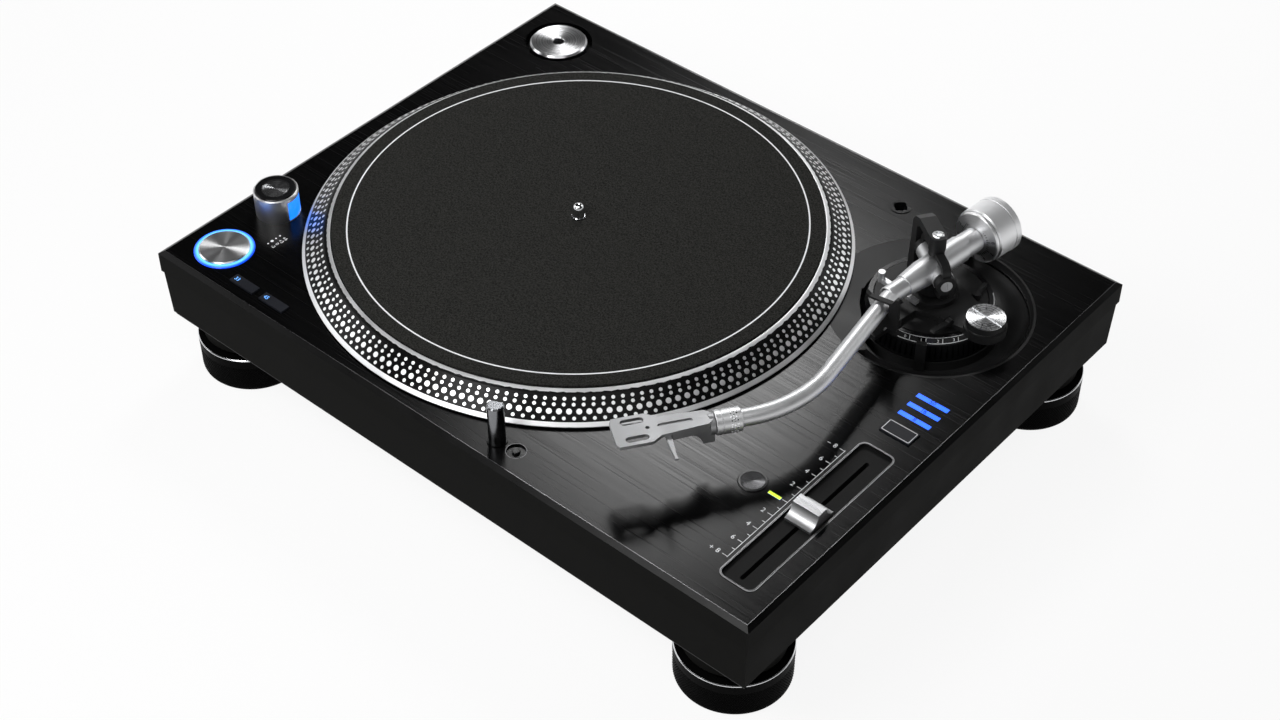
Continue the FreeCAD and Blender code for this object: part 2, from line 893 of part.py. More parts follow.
def soft_box(x, y, half_x, half_y, corner):
    """A rectangle with round corners."""
    left, right = f"{x} - ({half_x})", f"{x} + ({half_x})"
    low, high = f"{y} - ({half_y})", f"{y} + ({half_y})"
    return [
        (f"{right} - ({corner})", low),
        (right, f"{low} + ({corner})", corner),
        (right, f"{high} - ({corner})"),
        (f"{right} - ({corner})", high, corner),
        (f"{left} + ({corner})", high),
        (left, f"{high} - ({corner})", corner),
        (left, f"{low} + ({corner})"),
        (f"{left} + ({corner})", low, corner),
    ]


def slot_along_y(x, y, half_length, radius):
    """A slot with round ends, measured between the centres of its ends."""
    left, right = f"{x} - ({radius})", f"{x} + ({radius})"
    low, high = f"{y} - ({half_length})", f"{y} + ({half_length})"
    return [
        (right, low, radius),
        (right, high),
        (x, f"{high} + ({radius})", radius),
        (left, high, radius),
        (left, low),
        (x, f"{low} - ({radius})", radius),
    ]


def slot_along_x(x, y, half_length, radius):
    """A slot with round ends that lies along X."""
    left, right = f"{x} - ({half_length})", f"{x} + ({half_length})"
    low, high = f"{y} - ({radius})", f"{y} + ({radius})"
    return [
        (left, low, radius),
        (right, low),
        (f"{right} + ({radius})", y, radius),
        (right, high, radius),
        (left, high),
        (f"{left} - ({radius})", y, radius),
    ]


def round_first(outline, radius):
    """Let an outline's first corner end an arc of the given radius that comes from its last corner."""
    x, y = outline[0]
    return [(x, y, radius)] + outline[1:]


HALF_WIDTH = "case_width / 2"
HALF_DEPTH = "case_depth / 2"
LIP_LOW = "deck_height - lip_height"
DECK_UNDER = "deck_height - deck_thickness"
WALL_INSIDE = "case_depth / 2 - body_inset - body_taper - body_wall"
JACK_FLOOR = f"{WALL_INSIDE} - jack_depth + jack_wall"
JACK_MIDDLE = "(jack_low + jack_high) / 2"


def top_plate():
    """The die-cast deck: a bevelled plate with a lip round it and an opening for each fitting."""
    body = node("top_plate")
    pad(body, "lip", [box("0", "0", HALF_WIDTH, HALF_DEPTH)], LIP_LOW, "lip_height - edge_drop")
    around_edge = [box("0", "0", HALF_WIDTH, HALF_DEPTH)]
    edge = draw(body, "edge", "XY_Plane", around_edge, "deck_height - edge_drop")
    top = draw(
        body,
        "face",
        "XY_Plane",
        [box("0", "0", f"{HALF_WIDTH} - edge_inset", f"{HALF_DEPTH} - edge_inset")],
        "deck_height",
    )
    bevel = body.newObject("PartDesign::AdditiveLoft", "top_plate_bevel")
    bevel.Profile = edge
    bevel.Sections = [top]
    bevel.Ruled = True
    inside = box("0", "0", f"{HALF_WIDTH} - lip_wall", f"{HALF_DEPTH} - lip_wall")
    cut(body, "hollow", [inside], LIP_LOW, "lip_height - deck_thickness", up=True)
    pad(body, "light_sleeve", [ring("light_x", "light_y", "light_sleeve_radius")], "light_sleeve_low",
        f"{DECK_UNDER} - light_sleeve_low")
    collar = [ring("light_x", "light_y", "light_collar")]
    pad(body, "light_collar", collar, "deck_height", "light_collar_rise")
    cut(body, "well", [ring("platter_x", "platter_y", "well_radius")], "deck_height", "well_depth")
    adapter_well = [ring("adapter_x", "adapter_y", "adapter_well_radius")]
    cut(body, "adapter_well", adapter_well, "deck_height", "adapter_well_depth")
    cut(body, "dish_seat", [ring("arm_x", "arm_y", "dish_radius + seat_gap")], "deck_height", "dish_flange")
    holes = [
        ring("platter_x", "platter_y", "bearing_radius + seat_gap"),
        ring("arm_x", "arm_y", "dish_shoulder + seat_gap"),
        ring("start_x", "start_y", "start_ring_outer + seat_gap"),
        ring("tower_x", "tower_y", "tower_spigot + seat_gap"),
        ring("light_x", "light_y", "light_radius + run_gap"),
        ring("reset_x", "reset_y", "reset_radius + button_gap"),
        ring("light_button_x", "light_button_y", "light_button_radius + button_gap"),
        ring("socket_x", "socket_y", "socket_radius + seat_gap"),
        box("led_x", "led_y", "led_half_length + seat_gap", "led_half_width + seat_gap"),
        box("range_x", "range_y", "range_half_width + button_gap", "range_half_length + button_gap"),
        soft_box("fader_x", "fader_y", "fader_width / 2 + seat_gap", "fader_length / 2 + seat_gap", "fader_corner"),
    ]
    for index in range(3):
        y = f"bar_first_y + {index} * bar_pitch"
        holes.append(box("bar_x", y, "bar_half_length + seat_gap", "bar_half_width + seat_gap"))
    for x in ("key_left_x", "key_right_x"):
        holes.append(box(x, "key_y", "key_length / 2 + button_gap", "key_width / 2 + button_gap"))
    cut(body, "openings", holes, "deck_height + light_collar_rise")
    cut(body, "light_dish", [ring("light_button_x", "light_button_y", "light_dish_radius")], "deck_height",
        "light_dish_depth")


def base_body():
    """The moulded lower body: drawn-in walls, a boss over each foot and posts for the bottom's screws."""
    body = node("base_body")
    low = draw(
        body,
        "low",
        "XY_Plane",
        [box("0", "0", f"{HALF_WIDTH} - body_inset - body_taper", f"{HALF_DEPTH} - body_inset - body_taper")],
        "body_bottom",
    )
    high = draw(
        body,
        "high",
        "XY_Plane",
        [box("0", "0", f"{HALF_WIDTH} - body_inset", f"{HALF_DEPTH} - body_inset")],
        LIP_LOW,
    )
    shell = body.newObject("PartDesign::AdditiveLoft", "base_body_walls")
    shell.Profile = low
    shell.Sections = [high]
    shell.Ruled = True
    inside = box(
        "0",
        "0",
        f"{HALF_WIDTH} - body_inset - body_taper - body_wall",
        f"{HALF_DEPTH} - body_inset - body_taper - body_wall",
    )
    cut(body, "hollow", [inside], LIP_LOW)
    bosses = [ring(x, y, "boss_radius") for x, y in foot_places()]
    for index, boss in enumerate(bosses):
        pad(body, f"boss_{index}", [boss], "boss_low", "boss_top - boss_low")
    for index, (x, y) in enumerate(screw_places()):
        post = [box(x, y, "post_half", "post_half")]
        pad(body, f"post_{index}", post, "body_bottom", f"{LIP_LOW} - body_bottom")
    wide = "jack_half_width + jack_wall"
    tray = span(f"jack_x - ({wide})", "jack_low - jack_wall", f"jack_x + ({wide})", "jack_high + jack_wall")
    pad(body, "jack_tray", [tray], f"0 - ({WALL_INSIDE})", "jack_depth", "XZ_Plane")
    bores = [ring(x, y, "stud_radius + seat_gap") for x, y in foot_places()]
    cut(body, "stud_bores", bores, "boss_low", "stud_top + seat_gap - boss_low", up=True)
    shanks = [ring(x, y, "screw_shank") for x, y in screw_places()]
    cut(body, "screw_bores", shanks, "body_bottom", "screw_length", up=True)
    rear = span("jack_x - jack_half_width", "jack_low", "jack_x + jack_half_width", "jack_high")
    depth = f"{HALF_DEPTH} - ({JACK_FLOOR})"
    cut(body, "rear_opening", [rear], f"0 - {HALF_DEPTH}", depth, "XZ_Plane", up=True)
    window = [box("switch_x", JACK_MIDDLE, "switch_half_width", "switch_half_height")]
    start = f"0 - ({JACK_FLOOR}) - overcut"
    cut(body, "switch_window", window, start, "switch_seat + overcut", "XZ_Plane", up=True)


def foot_places():
    """The centres of the four feet."""
    return [(f"{x} * foot_reach_across", f"{y} * foot_reach_along") for y in (-1, 1) for x in (-1, 1)]


def screw_places():
    """The centres of the bottom screws: two at the front, two at the back and one at each side."""
    along = f"{WALL_INSIDE} - post_radius"
    across = f"{HALF_WIDTH} - body_inset - body_taper - body_wall - post_radius"
    places = [(f"{x} * screw_spread", f"{y} * ({along})") for y in (-1, 1) for x in (-1, 1)]
    return places + [(f"{x} * ({across})", "0") for x in (-1, 1)]


def bottom_plate():
    """The sheet that closes the body from below, cut round the foot bosses."""
    body = node("bottom_plate")
    inset = "body_inset + body_taper + bottom_inset"
    outline = box("0", "0", f"{HALF_WIDTH} - ({inset})", f"{HALF_DEPTH} - ({inset})")
    pad(body, "sheet", [outline], "body_bottom - bottom_sheet", "bottom_sheet")
    bosses = [ring(x, y, "boss_radius + seat_gap") for x, y in foot_places()]
    cut(body, "boss_holes", bosses, "body_bottom")
    holes = [ring(x, y, "screw_shank + seat_gap") for x, y in screw_places()]
    cut(body, "screw_holes", holes, "body_bottom")


def bottom_screws():
    """The screws that hold the bottom sheet."""
    shapes = []
    for x, y in screw_places():
        head_low = value("body_bottom - bottom_sheet - screw_head_height")
        centre = FreeCAD.Vector(value(x), value(y), head_low)
        head = Part.makeCylinder(value("screw_head"), value("screw_head_height"), centre)
        shank = Part.makeCylinder(
            value("screw_shank - seat_gap / 2"),
            value("screw_head_height + bottom_sheet + screw_length - overcut"),
            centre,
        )
        shapes.append(head.fuse(shank))
    group = doc.addObject("Part::Feature", "bottom_screws")
    group.Label = "bottom_screws"
    group.Shape = Part.makeCompound(shapes)
    NODES.append(group)


def foot(index, x, y):
    """A foot: a knurled shell that turns on the collar of a threaded stud."""
    shell = node(f"foot_{index}_shell", x, y)
    profile = [
        ("stud_collar + run_gap", "0"),
        ("foot_radius - foot_bevel", "0"),
        ("foot_radius", "foot_bevel"),
        ("foot_radius", "foot_height - foot_bevel / 2"),
        ("foot_radius - foot_bevel / 2", "foot_height"),
        ("foot_recess_radius", "foot_height"),
        ("foot_recess_radius", "foot_height - foot_recess_depth"),
        ("stud_collar + run_gap", "foot_height - foot_recess_depth"),
    ]
    turn(shell, "shell", [profile])
    inset = "foot_radius - foot_knurl_depth"
    notch = [
        (inset, "0"),
        ("foot_radius + overcut", "0 - foot_knurl_half"),
        ("foot_radius + overcut", "foot_knurl_half"),
    ]
    ridge = cut(shell, "knurl", [notch], "foot_knurl_low", "foot_knurl_high - foot_knurl_low", up=True)
    around(shell, ridge, "foot_knurl_count")
    stud = node(f"foot_{index}_stud", x, y)
    low = "foot_bevel / 2"
    profile = [
        ("0", low),
        ("stud_collar", low),
        ("stud_collar", "foot_height - foot_recess_depth + stud_collar_height"),
        ("stud_radius", "foot_height - foot_recess_depth + stud_collar_height"),
        ("stud_radius", "stud_top"),
        ("0", "stud_top"),
    ]
    turn(stud, "stud", [profile])


def platter():
    """The platter: a dished casting with a conical rim, hollow below, on a hub."""
    body = node("platter", "platter_x", "platter_y")
    under = "platter_face - platter_web"
    profile = [
        ("rotor_flange - hub_overlap", "hub_low"),
        ("hub_radius", "hub_low"),
        ("hub_radius + hub_slope", under),
        ("rim_crest_radius - platter_rim_wall - rim_web", under),
        ("rim_crest_radius - platter_rim_wall", f"{under} - rim_web_drop"),
        ("rim_low_radius - platter_rim_wall", "rim_low_top"),
        ("rim_low_radius - platter_rim_wall", "platter_low"),
        ("platter_radius", "platter_low"),
        ("platter_radius", "platter_low + rim_foot"),
        ("rim_low_radius", "rim_low_top"),
        ("rim_high_radius", "rim_high_low"),
        ("rim_crest_radius", "rim_crest"),
        ("platter_recess_radius", "rim_crest"),
        ("platter_recess_radius", "platter_face"),
        ("shoulder_radius", "platter_face"),
        ("shoulder_radius", f"{under} + hub_seat"),
        ("rotor_flange - hub_overlap", f"{under} + hub_seat"),
    ]
    turn(body, "casting", [profile])
    magnet = node("rotor_magnet", "platter_x", "platter_y")
    turn(magnet, "magnet", [span("magnet_inner", "magnet_low", "magnet_outer", under)])
    mat = node("slipmat", "platter_x", "platter_y")
    turn(mat, "felt", [span("mat_hole", "platter_face", "mat_radius", "platter_face + mat_thickness")])


def spindle():
    """The spindle: journal, flange under the platter's hub, shoulder through the mat, round-ended pin."""
    body = node("spindle", "platter_x", "platter_y")
    under = "platter_face - platter_web + hub_seat"
    shoulder = "platter_face + mat_thickness + shoulder_rise"
    profile = [
        ("0", "spindle_bottom"),
        ("journal_radius", "spindle_bottom"),
        ("journal_radius", "rotor_flange_low"),
        ("rotor_flange - hub_overlap", "rotor_flange_low"),
        ("rotor_flange - hub_overlap", under),
        ("shoulder_radius", under),
        ("shoulder_radius", shoulder),
        ("spindle_radius", shoulder),
        ("spindle_radius", "spindle_top - spindle_radius"),
        ("0", "spindle_top", "spindle_radius"),
    ]
    turn(body, "shaft", [profile])


def drive():
    """The bearing that the spindle turns in, and the stator with its ring of coils."""
    bearing = node("spindle_bearing", "platter_x", "platter_y")
    seat = "deck_height - well_depth"
    profile = [
        ("0", "bearing_low"),
        ("bearing_radius", "bearing_low"),
        ("bearing_radius", seat),
        ("bearing_flange", seat),
        ("bearing_flange", f"{seat} + bearing_flange_height"),
        ("journal_radius + run_gap", f"{seat} + bearing_flange_height"),
        ("journal_radius + run_gap", "spindle_bottom"),
        ("0", "spindle_bottom"),
    ]
    turn(bearing, "sleeve", [profile])
    stator = node("motor_stator", "platter_x", "platter_y")
    turn(stator, "board", [span("stator_inner", seat, "stator_outer", f"{seat} + stator_board")])
    coils = [ring("coil_ring", "0", "coil_radius")]
    coil = pad(stator, "coil", coils, f"{seat} + stator_board", "stator_height - stator_board")
    around(stator, coil, "coil_count")


def adapter():
    """The large-hole adapter that lies in its well in the deck."""
    floor = "deck_height - adapter_well_depth"
    disc = node("adapter", "adapter_x", "adapter_y")
    top = "deck_height + adapter_rise"
    profile = [
        ("adapter_hole", floor),
        ("adapter_radius", floor),
        ("adapter_radius", f"{top} - adapter_bevel"),
        ("adapter_radius - adapter_bevel", top),
        ("adapter_hole + adapter_mouth", f"{top} - adapter_dip"),
        ("adapter_hole", f"{top} - adapter_dip - adapter_mouth"),
    ]
    turn(disc, "disc", [profile])
    pocket = [ring("0", "adapter_pocket_from", "adapter_pocket")]
    cut(disc, "pocket", pocket, floor, "adapter_pocket_depth", up=True)


def cap_profile(radius, rise):
    """The profile of a round push button with a flange that holds it under the deck."""
    flange_top = f"{DECK_UNDER} - run_gap"
    return [
        ("0", f"{flange_top} - cap_flange_height"),
        (f"{radius} + cap_flange", f"{flange_top} - cap_flange_height"),
        (f"{radius} + cap_flange", flange_top),
        (radius, flange_top),
        (radius, f"deck_height + {rise} - cap_bevel"),
        (f"{radius} - cap_bevel", f"deck_height + {rise}"),
        ("0", f"deck_height + {rise}"),
    ]


def start_button():
    """The start button inside its light ring. The ring's own flange hangs it under the deck."""
    light = node("start_light_ring", "start_x", "start_y")
    low = f"{DECK_UNDER} - flange_height"
    inner = "start_radius + button_gap"
    profile = [
        (inner, f"{low} + flange_height + ring_spigot"),
        (f"{inner} + cap_flange + start_ring_room", f"{low} + flange_height + ring_spigot"),
        (f"{inner} + cap_flange + start_ring_room", low),
        ("start_ring_outer + flange_reach", low),
        ("start_ring_outer + flange_reach", DECK_UNDER),
        ("start_ring_outer", DECK_UNDER),
        ("start_ring_outer", "deck_height + start_ring_rise - start_ring_drop"),
        ("start_ring_outer - start_ring_bevel", "deck_height + start_ring_rise"),
        (inner, "deck_height + start_ring_rise"),
    ]
    turn(light, "ring", [profile])
    button = node("start_button", "start_x", "start_y")
    flange_top = f"{DECK_UNDER} + ring_spigot - run_gap"
    profile = [
        ("0", f"{flange_top} - cap_flange_height"),
        ("start_radius + cap_flange", f"{flange_top} - cap_flange_height"),
        ("start_radius + cap_flange", flange_top),
        ("start_radius", flange_top),
        ("start_radius", "deck_height + start_rise - start_bevel_drop"),
        ("start_radius - start_bevel", "deck_height + start_rise"),
        ("0", "deck_height + start_rise"),
    ]
    turn(button, "cap", [profile])


def strobe_tower():
    """The tower at the platter's edge: a turned housing with a lit window and a dial in its top."""
    tower = node("strobe_tower", "tower_x", "tower_y", "window_turn")
    top = "deck_height + tower_height"
    profile = [
        ("dial_shaft + run_gap", f"{DECK_UNDER} - spigot_length"),
        ("tower_spigot", f"{DECK_UNDER} - spigot_length"),
        ("tower_spigot", "deck_height"),
        ("tower_radius", "deck_height"),
        ("tower_radius", f"{top} - tower_bevel_drop"),
        ("tower_radius - tower_bevel", top),
        ("tower_radius - tower_rim", top),
        ("tower_radius - tower_rim", f"{top} - dial_depth"),
        ("dial_shaft + run_gap", f"{top} - dial_depth"),
    ]
    turn(tower, "housing", [profile])
    opening = span(
        "0 - window_half_width", "deck_height + window_low", "window_half_width", "deck_height + window_high"
    )
    cut(tower, "window", [opening], "tower_radius + overcut", "window_thickness + window_back", "YZ_Plane")
    pane = node("strobe_window", "tower_x", "tower_y", "window_turn")
    inner = "tower_radius - window_thickness + seat_gap"
    outer = "tower_radius - window_inset"
    outline = span(inner, "deck_height + window_low", outer, "deck_height + window_high")
    turn(pane, "pane", [outline], angle="2 * window_half_angle")
    dial = node("power_dial", "tower_x", "tower_y")
    rim = "tower_radius - tower_rim - button_gap"
    profile = [
        ("0", f"{DECK_UNDER} - dial_reach"),
        ("dial_shaft", f"{DECK_UNDER} - dial_reach"),
        ("dial_shaft", f"{top} - dial_depth + run_gap"),
        (rim, f"{top} - dial_depth + run_gap"),
        (rim, f"{top} + dial_rise - dial_bevel"),
        (f"{rim} - dial_bevel", f"{top} + dial_rise"),
        ("dial_centre", f"{top} + dial_rise"),
        ("dial_centre - dial_face_step", f"{top} + dial_rise - dial_face_drop"),
        ("0", f"{top} + dial_rise - dial_face_step"),
    ]
    turn(dial, "dial", [profile])
    notch = [
        (f"{rim} - dial_notch", "0"),
        (f"{rim} + overcut", "0 - dial_notch_half"),
        (f"{rim} + overcut", "dial_notch_half"),
    ]
    tooth = cut(dial, "knurl", [notch], f"{top} + dial_rise + overcut", "dial_notch_length")
    around(dial, tooth, "dial_notch_count")


def key(name, x):
    """One speed key: a low bar with a flange below the deck."""
    body = node(name, x, "key_y")
    flange_top = f"{DECK_UNDER} - run_gap"
    pad(body, "flange", [box("0", "0", "key_length / 2 + cap_flange", "key_width / 2 + cap_flange")],
        f"{flange_top} - cap_flange_height", "cap_flange_height")
    pad(body, "bar", [box("0", "0", "key_length / 2", "key_width / 2")], flange_top,
        "deck_thickness + run_gap + key_rise")


def range_button():
    """The square-cornered range button."""
    body = node("range_button", "range_x", "range_y")
    flange_top = f"{DECK_UNDER} - run_gap"
    pad(body, "flange", [box("0", "0", "range_half_width + cap_flange", "range_half_length + cap_flange")],
        f"{flange_top} - cap_flange_height", "cap_flange_height")
    pad(body, "bar", [box("0", "0", "range_half_width", "range_half_length")], flange_top,
        "deck_thickness + run_gap + range_rise")


def pop_up_light():
    """The record light: a pillar with a notched head that slides in the deck's sleeve, and its button."""
    pillar = node("record_light", "light_x", "light_y", "window_turn + light_turn")
    profile = [
        ("0", "light_top - light_length"),
        ("light_radius", "light_top - light_length"),
        ("light_radius", "light_top - light_bevel"),
        ("light_radius - light_bevel", "light_top"),
        ("0", "light_top"),
    ]
    turn(pillar, "pillar", [profile])
    wedge = [
        ("light_notch_root", "light_top - light_notch"),
        ("light_radius + overcut", "light_top - light_notch - light_notch_slope"),
        ("light_radius + overcut", "light_top + overcut"),
        ("light_notch_mouth", "light_top + overcut"),
    ]
    cut(pillar, "notch", [wedge], "0", "2 * (light_radius + overcut)", "XZ_Plane", both=True)
    button = node("light_button", "light_button_x", "light_button_y")
    profile = cap_profile("light_button_radius", "0 - light_dish_depth + light_button_rise")
    turn(button, "cap", [profile])


def lights():
    """The centre light and the three range lights, each a clear bar flush with the deck."""
    body = node("deck_lights")
    low = f"{DECK_UNDER} - flange_height"
    reach = "bar_half_width + tab_margin"
    side = "bar_half_length + tab_margin"
    seats = [
        box("led_x", "led_y", "led_half_length + tab_margin", "led_half_width + tab_margin"),
        span(f"bar_x - ({side})", f"bar_first_y - ({reach})", f"bar_x + {side}",
             f"bar_first_y + 2 * bar_pitch + {reach}"),
    ]
    pad(body, "seats", seats, low, "flange_height")
    bars = [box("led_x", "led_y", "led_half_length", "led_half_width")]
    for index in range(3):
        bars.append(box("bar_x", f"bar_first_y + {index} * bar_pitch", "bar_half_length", "bar_half_width"))
    pad(body, "bars", bars, DECK_UNDER, "deck_thickness")


def fader():
    """The tempo fader: a tray with a fine rim and the track below it, and the saddle-shaped knob."""
    tray = node("fader_tray", "fader_x", "fader_y")
    low = f"{DECK_UNDER} - flange_height"
    wide = "fader_width / 2 + fader_flange"
    flange = soft_box("0", "0", wide, "fader_length / 2 + flange_reach", "fader_corner")
    pad(tray, "flange", [flange], low, "flange_height")
    outline = soft_box("0", "0", "fader_width / 2", "fader_length / 2", "fader_corner")
    pad(tray, "block", [outline], DECK_UNDER, "deck_thickness + fader_rim_rise")
    inside = soft_box(
        "0", "0", "fader_width / 2 - fader_rim", "fader_length / 2 - fader_rim", "fader_corner - fader_rim"
    )
    cut(tray, "floor", [inside], "deck_height + fader_rim_rise", "fader_depth + fader_rim_rise")
    slot = slot_along_y("0", "slot_y - fader_y", "slot_half_length", "slot_half_width")
    cut(tray, "slot", [slot], "deck_height")
    reach = "slot_half_length + track_end"
    middle = "slot_y - fader_y"
    channel = [box("0", middle, "track_half_width", reach)]
    pad(tray, "channel", channel, f"{low} - track_depth", "track_depth")
    inner = box("0", middle, "track_half_width - track_wall", f"{reach} - track_wall")
    cut(tray, "inside", [inner], low, "track_depth - track_wall")
    knob = node("tempo_knob", "fader_x", "knob_y")
    base = "deck_height - fader_depth + knob_low"
    top = f"{base} + knob_height"
    saddle = [
        ("0 - knob_half_depth", base),
        ("knob_half_depth", base),
        ("knob_half_depth", f"{base} + knob_skirt"),
        ("knob_ridge", f"{top}", "knob_hollow", -1),
        ("0 - knob_ridge", f"{top}"),
        ("0 - knob_half_depth", f"{base} + knob_skirt", "knob_hollow", -1),
    ]
    pad(knob, "saddle", [saddle], "0", "knob_width", "YZ_Plane", both=True)
    stem = box("0", "0", "stem_half_width", "stem_half_length")
    foot = f"{low} - track_depth + track_wall + stem_clear"
    pad(knob, "stem", [stem], foot, f"{base} - ({foot})")


def buttons():
    """The reset button."""
    body = node("reset_button", "reset_x", "reset_y")
    turn(body, "cap", [cap_profile("reset_radius", "reset_rise")])
    top = "deck_height + reset_rise"
    line = span("reset_radius - reset_line", f"{top} - reset_line_depth",
                "reset_radius - reset_line + reset_line_width", f"{top} + overcut")
    groove(body, "line", [line])


def headshell_socket():
    """The stand for a spare headshell: a bayonet socket sunk in the deck."""
    body = node("headshell_socket", "socket_x", "socket_y")
    low = "deck_height - socket_depth"
    profile = [
        ("0", low),
        ("socket_radius", low),
        ("socket_radius", "deck_height"),
        ("socket_flange", "deck_height"),
        ("socket_flange", "deck_height + socket_rise - socket_bevel_drop"),
        ("socket_flange - socket_bevel", "deck_height + socket_rise"),
        ("socket_bore", "deck_height + socket_rise"),
        ("socket_bore", f"{low} + socket_floor"),
        ("0", f"{low} + socket_floor"),
    ]
    turn(body, "socket", [profile])
    slot = box("socket_notch - socket_notch_half", "0", "socket_notch_half", "socket_notch_side")
    notch = cut(body, "notch", [slot], "deck_height + socket_rise", "socket_notch_depth")
    around(body, notch, "socket_notch_count")


def arm_dish():
    """The round inlay under the arm. Its moat is cut off on the platter's side by two flats."""
    body = node("arm_dish", "arm_x", "arm_y", "arm_heading")
    low = "dish_floor - dish_sheet"
    profile = [
        ("dish_hole", low),
        ("dish_shoulder", low),
        ("dish_shoulder", "deck_height - dish_flange"),
        ("dish_radius", "deck_height - dish_flange"),
        ("dish_radius", "deck_height"),
        ("ridge_radius - 1", "deck_height"),
        ("ridge_radius - 1", "dish_floor"),
        ("dish_hole", "dish_floor"),
    ]
    turn(body, "block", [profile])
    moat_low = "deck_height - moat_depth"
    ridge_top = "ring_wall_low"
    tool = doc.addObject("PartDesign::Body", "moat_tool")
    tool.Placement = body.Placement
    tool.setExpression("Placement.Base.x", bind("arm_x"))
    tool.setExpression("Placement.Base.y", bind("arm_y"))
    profile = [
        ("ridge_radius - 2", "deck_height + 1"),
        ("ridge_radius - 2", ridge_top),
        ("ridge_radius", ridge_top),
        ("ridge_radius + moat_foot", moat_low),
        ("moat_radius", f"{moat_low} - moat_dip"),
        ("dish_lip", "deck_height", "moat_round", 1),
        ("dish_lip", "deck_height + 1"),
    ]
    turn(tool, "moat", [profile])
    far = "flat_far"
    keep = [
        ("flat_front_x", "flat_front_y"),
        (far, "0 - flat_outer_y"),
        (far, f"0 - {far}"),
        (f"0 - {far}", f"0 - {far}"),
        (f"0 - {far}", "0 - flat_outer_y"),
        ("0 - flat_back_x", "0 - flat_back_y"),
        ("flat_inner_x", "0 - flat_inner_y"),
        ("flat_edge_x", "0 - flat_edge_y"),
    ]
    cut(tool, "flats", [keep], "deck_height + overcut", "flat_cut")
    dish = doc.addObject("Part::Cut", "arm_dish_cut")
    dish.Base = body
    dish.Tool = tool
    body.Label = "arm_dish_block"
    NODES.remove(body)
    whole = doc.addObject("Part::MultiFuse", "arm_dish_whole")
    whole.Shapes = [dish, height_index()]
    whole.Label = "arm_dish"
    NODES.append(whole)


def height_index():
    """The index post that stands beside the height ring."""
    post = doc.addObject("PartDesign::Body", "height_index")
    post.Placement = FreeCAD.Placement(
        FreeCAD.Vector(), FreeCAD.Rotation(FreeCAD.Vector(0, 0, 1), value("arm_heading + index_turn"))
    )
    post.setExpression("Placement.Base.x", bind("arm_x"))
    post.setExpression("Placement.Base.y", bind("arm_y"))
    pad(post, "post", [span("ridge_radius - index_bite", "0 - index_width / 2", "index_reach", "index_width / 2")],
        "dish_floor", "index_top - dish_floor")
    return post


def height_ring():
    """The ring that is turned to raise the arm: a knurled wall under a bevelled scale band."""
    body = node("height_ring", "arm_x", "arm_y")
    profile = [
        ("ring_bore", "ring_low"),
        ("ring_radius - ring_foot_in", "ring_low"),
        ("ring_radius", "ring_wall_low"),
        ("ring_wall_radius", "ring_wall_top"),
        ("ring_top_radius", "ring_top"),
        ("ring_inner_top", "ring_top"),
        ("ring_inner_top", "base_disc_low - ring_top_gap"),
        ("ring_bore", "base_disc_low - ring_top_gap"),
    ]
    turn(body, "ring", [profile])
    notch = [
        ("ring_wall_radius - ring_knurl_depth", "0"),
        ("ring_radius + overcut", "0 - ring_knurl_half"),
        ("ring_radius + overcut", "ring_knurl_half"),
    ]
    tooth = cut(body, "knurl", [notch], "ring_wall_low + ring_knurl_low",
                "ring_wall_top - ring_wall_low - ring_knurl_short", up=True)
    around(body, tooth, "ring_knurl_count")


def arm_base():
    """What rises with the height ring: column, disc, beam, web to the anti-skate knob, and turret."""
    body = node("arm_base", "arm_x", "arm_y", "arm_heading")
    profile = [
        ("column_bore", "column_low"),
        ("column_radius", "column_low"),
        ("column_radius", "base_disc_low"),
        ("base_disc", "base_disc_low"),
        ("base_disc", "base_disc_top"),
        ("web_radius", "base_disc_top"),
        ("web_radius", "web_top"),
        ("turret_radius", "web_top"),
        ("turret_radius", "turret_top"),
        ("turret_radius - turret_bevel", "turret_top"),
        ("turret_radius - turret_face", "turret_top - turret_face_drop"),
        ("pivot_bore", "turret_top - turret_face_drop"),
        ("pivot_bore", "turret_top - pivot_depth"),
        ("column_bore", "turret_top - pivot_depth"),
    ]
    turn(body, "column", [profile])
    pad(body, "beam", [span("turret_radius - beam_overlap", "0 - beam_half_width", "beam_end", "beam_half_width")],
        "base_disc_top", "web_top - base_disc_top")
    web = [
        ("web_inset - web_radius", "web_start"),
        ("web_radius - web_inset", "web_start"),
        ("skate_web_half", "skate_reach"),
        ("0 - skate_web_half", "skate_reach"),
    ]
    pad(body, "web", [web], "base_disc_top", "web_top - base_disc_top")
    lobe = [ring("0", "skate_reach", "skate_skirt")]
    pad(body, "lobe", lobe, "base_disc_top", "skate_skirt_top - base_disc_top")
    bore = [ring("0", "skate_reach", "skate_shaft + run_gap")]
    cut(body, "skate_bore", bore, "skate_skirt_top + overcut", "skate_bore_depth")
    boss = [ring("lifter_x", "0 - lifter_y", "lifter_shaft + lifter_boss_wall")]
    pad(body, "lifter_boss", boss, "base_disc_low", "lifter_low - lifter_boss_drop - base_disc_low")
    bore = [ring("lifter_x", "0 - lifter_y", "lifter_shaft + run_gap")]
    cut(body, "lifter_bore", bore, "lifter_low", "lifter_low - lifter_shaft_low + lifter_bore_room")
    block = [box("lever_x", "lever_y", "lever_hub", "lever_half_width")]
    pad(body, "lever_block", block, "base_disc_top", "lever_height + lever_hub - base_disc_top")
    bore = [ring("lever_x", "lever_height", "lever_pin + run_gap")]
    cut(body, "lever_bore", bore, "0 - lever_y - lever_half_width - overcut",
        "2 * (lever_half_width + overcut)", "XZ_Plane", up=True)


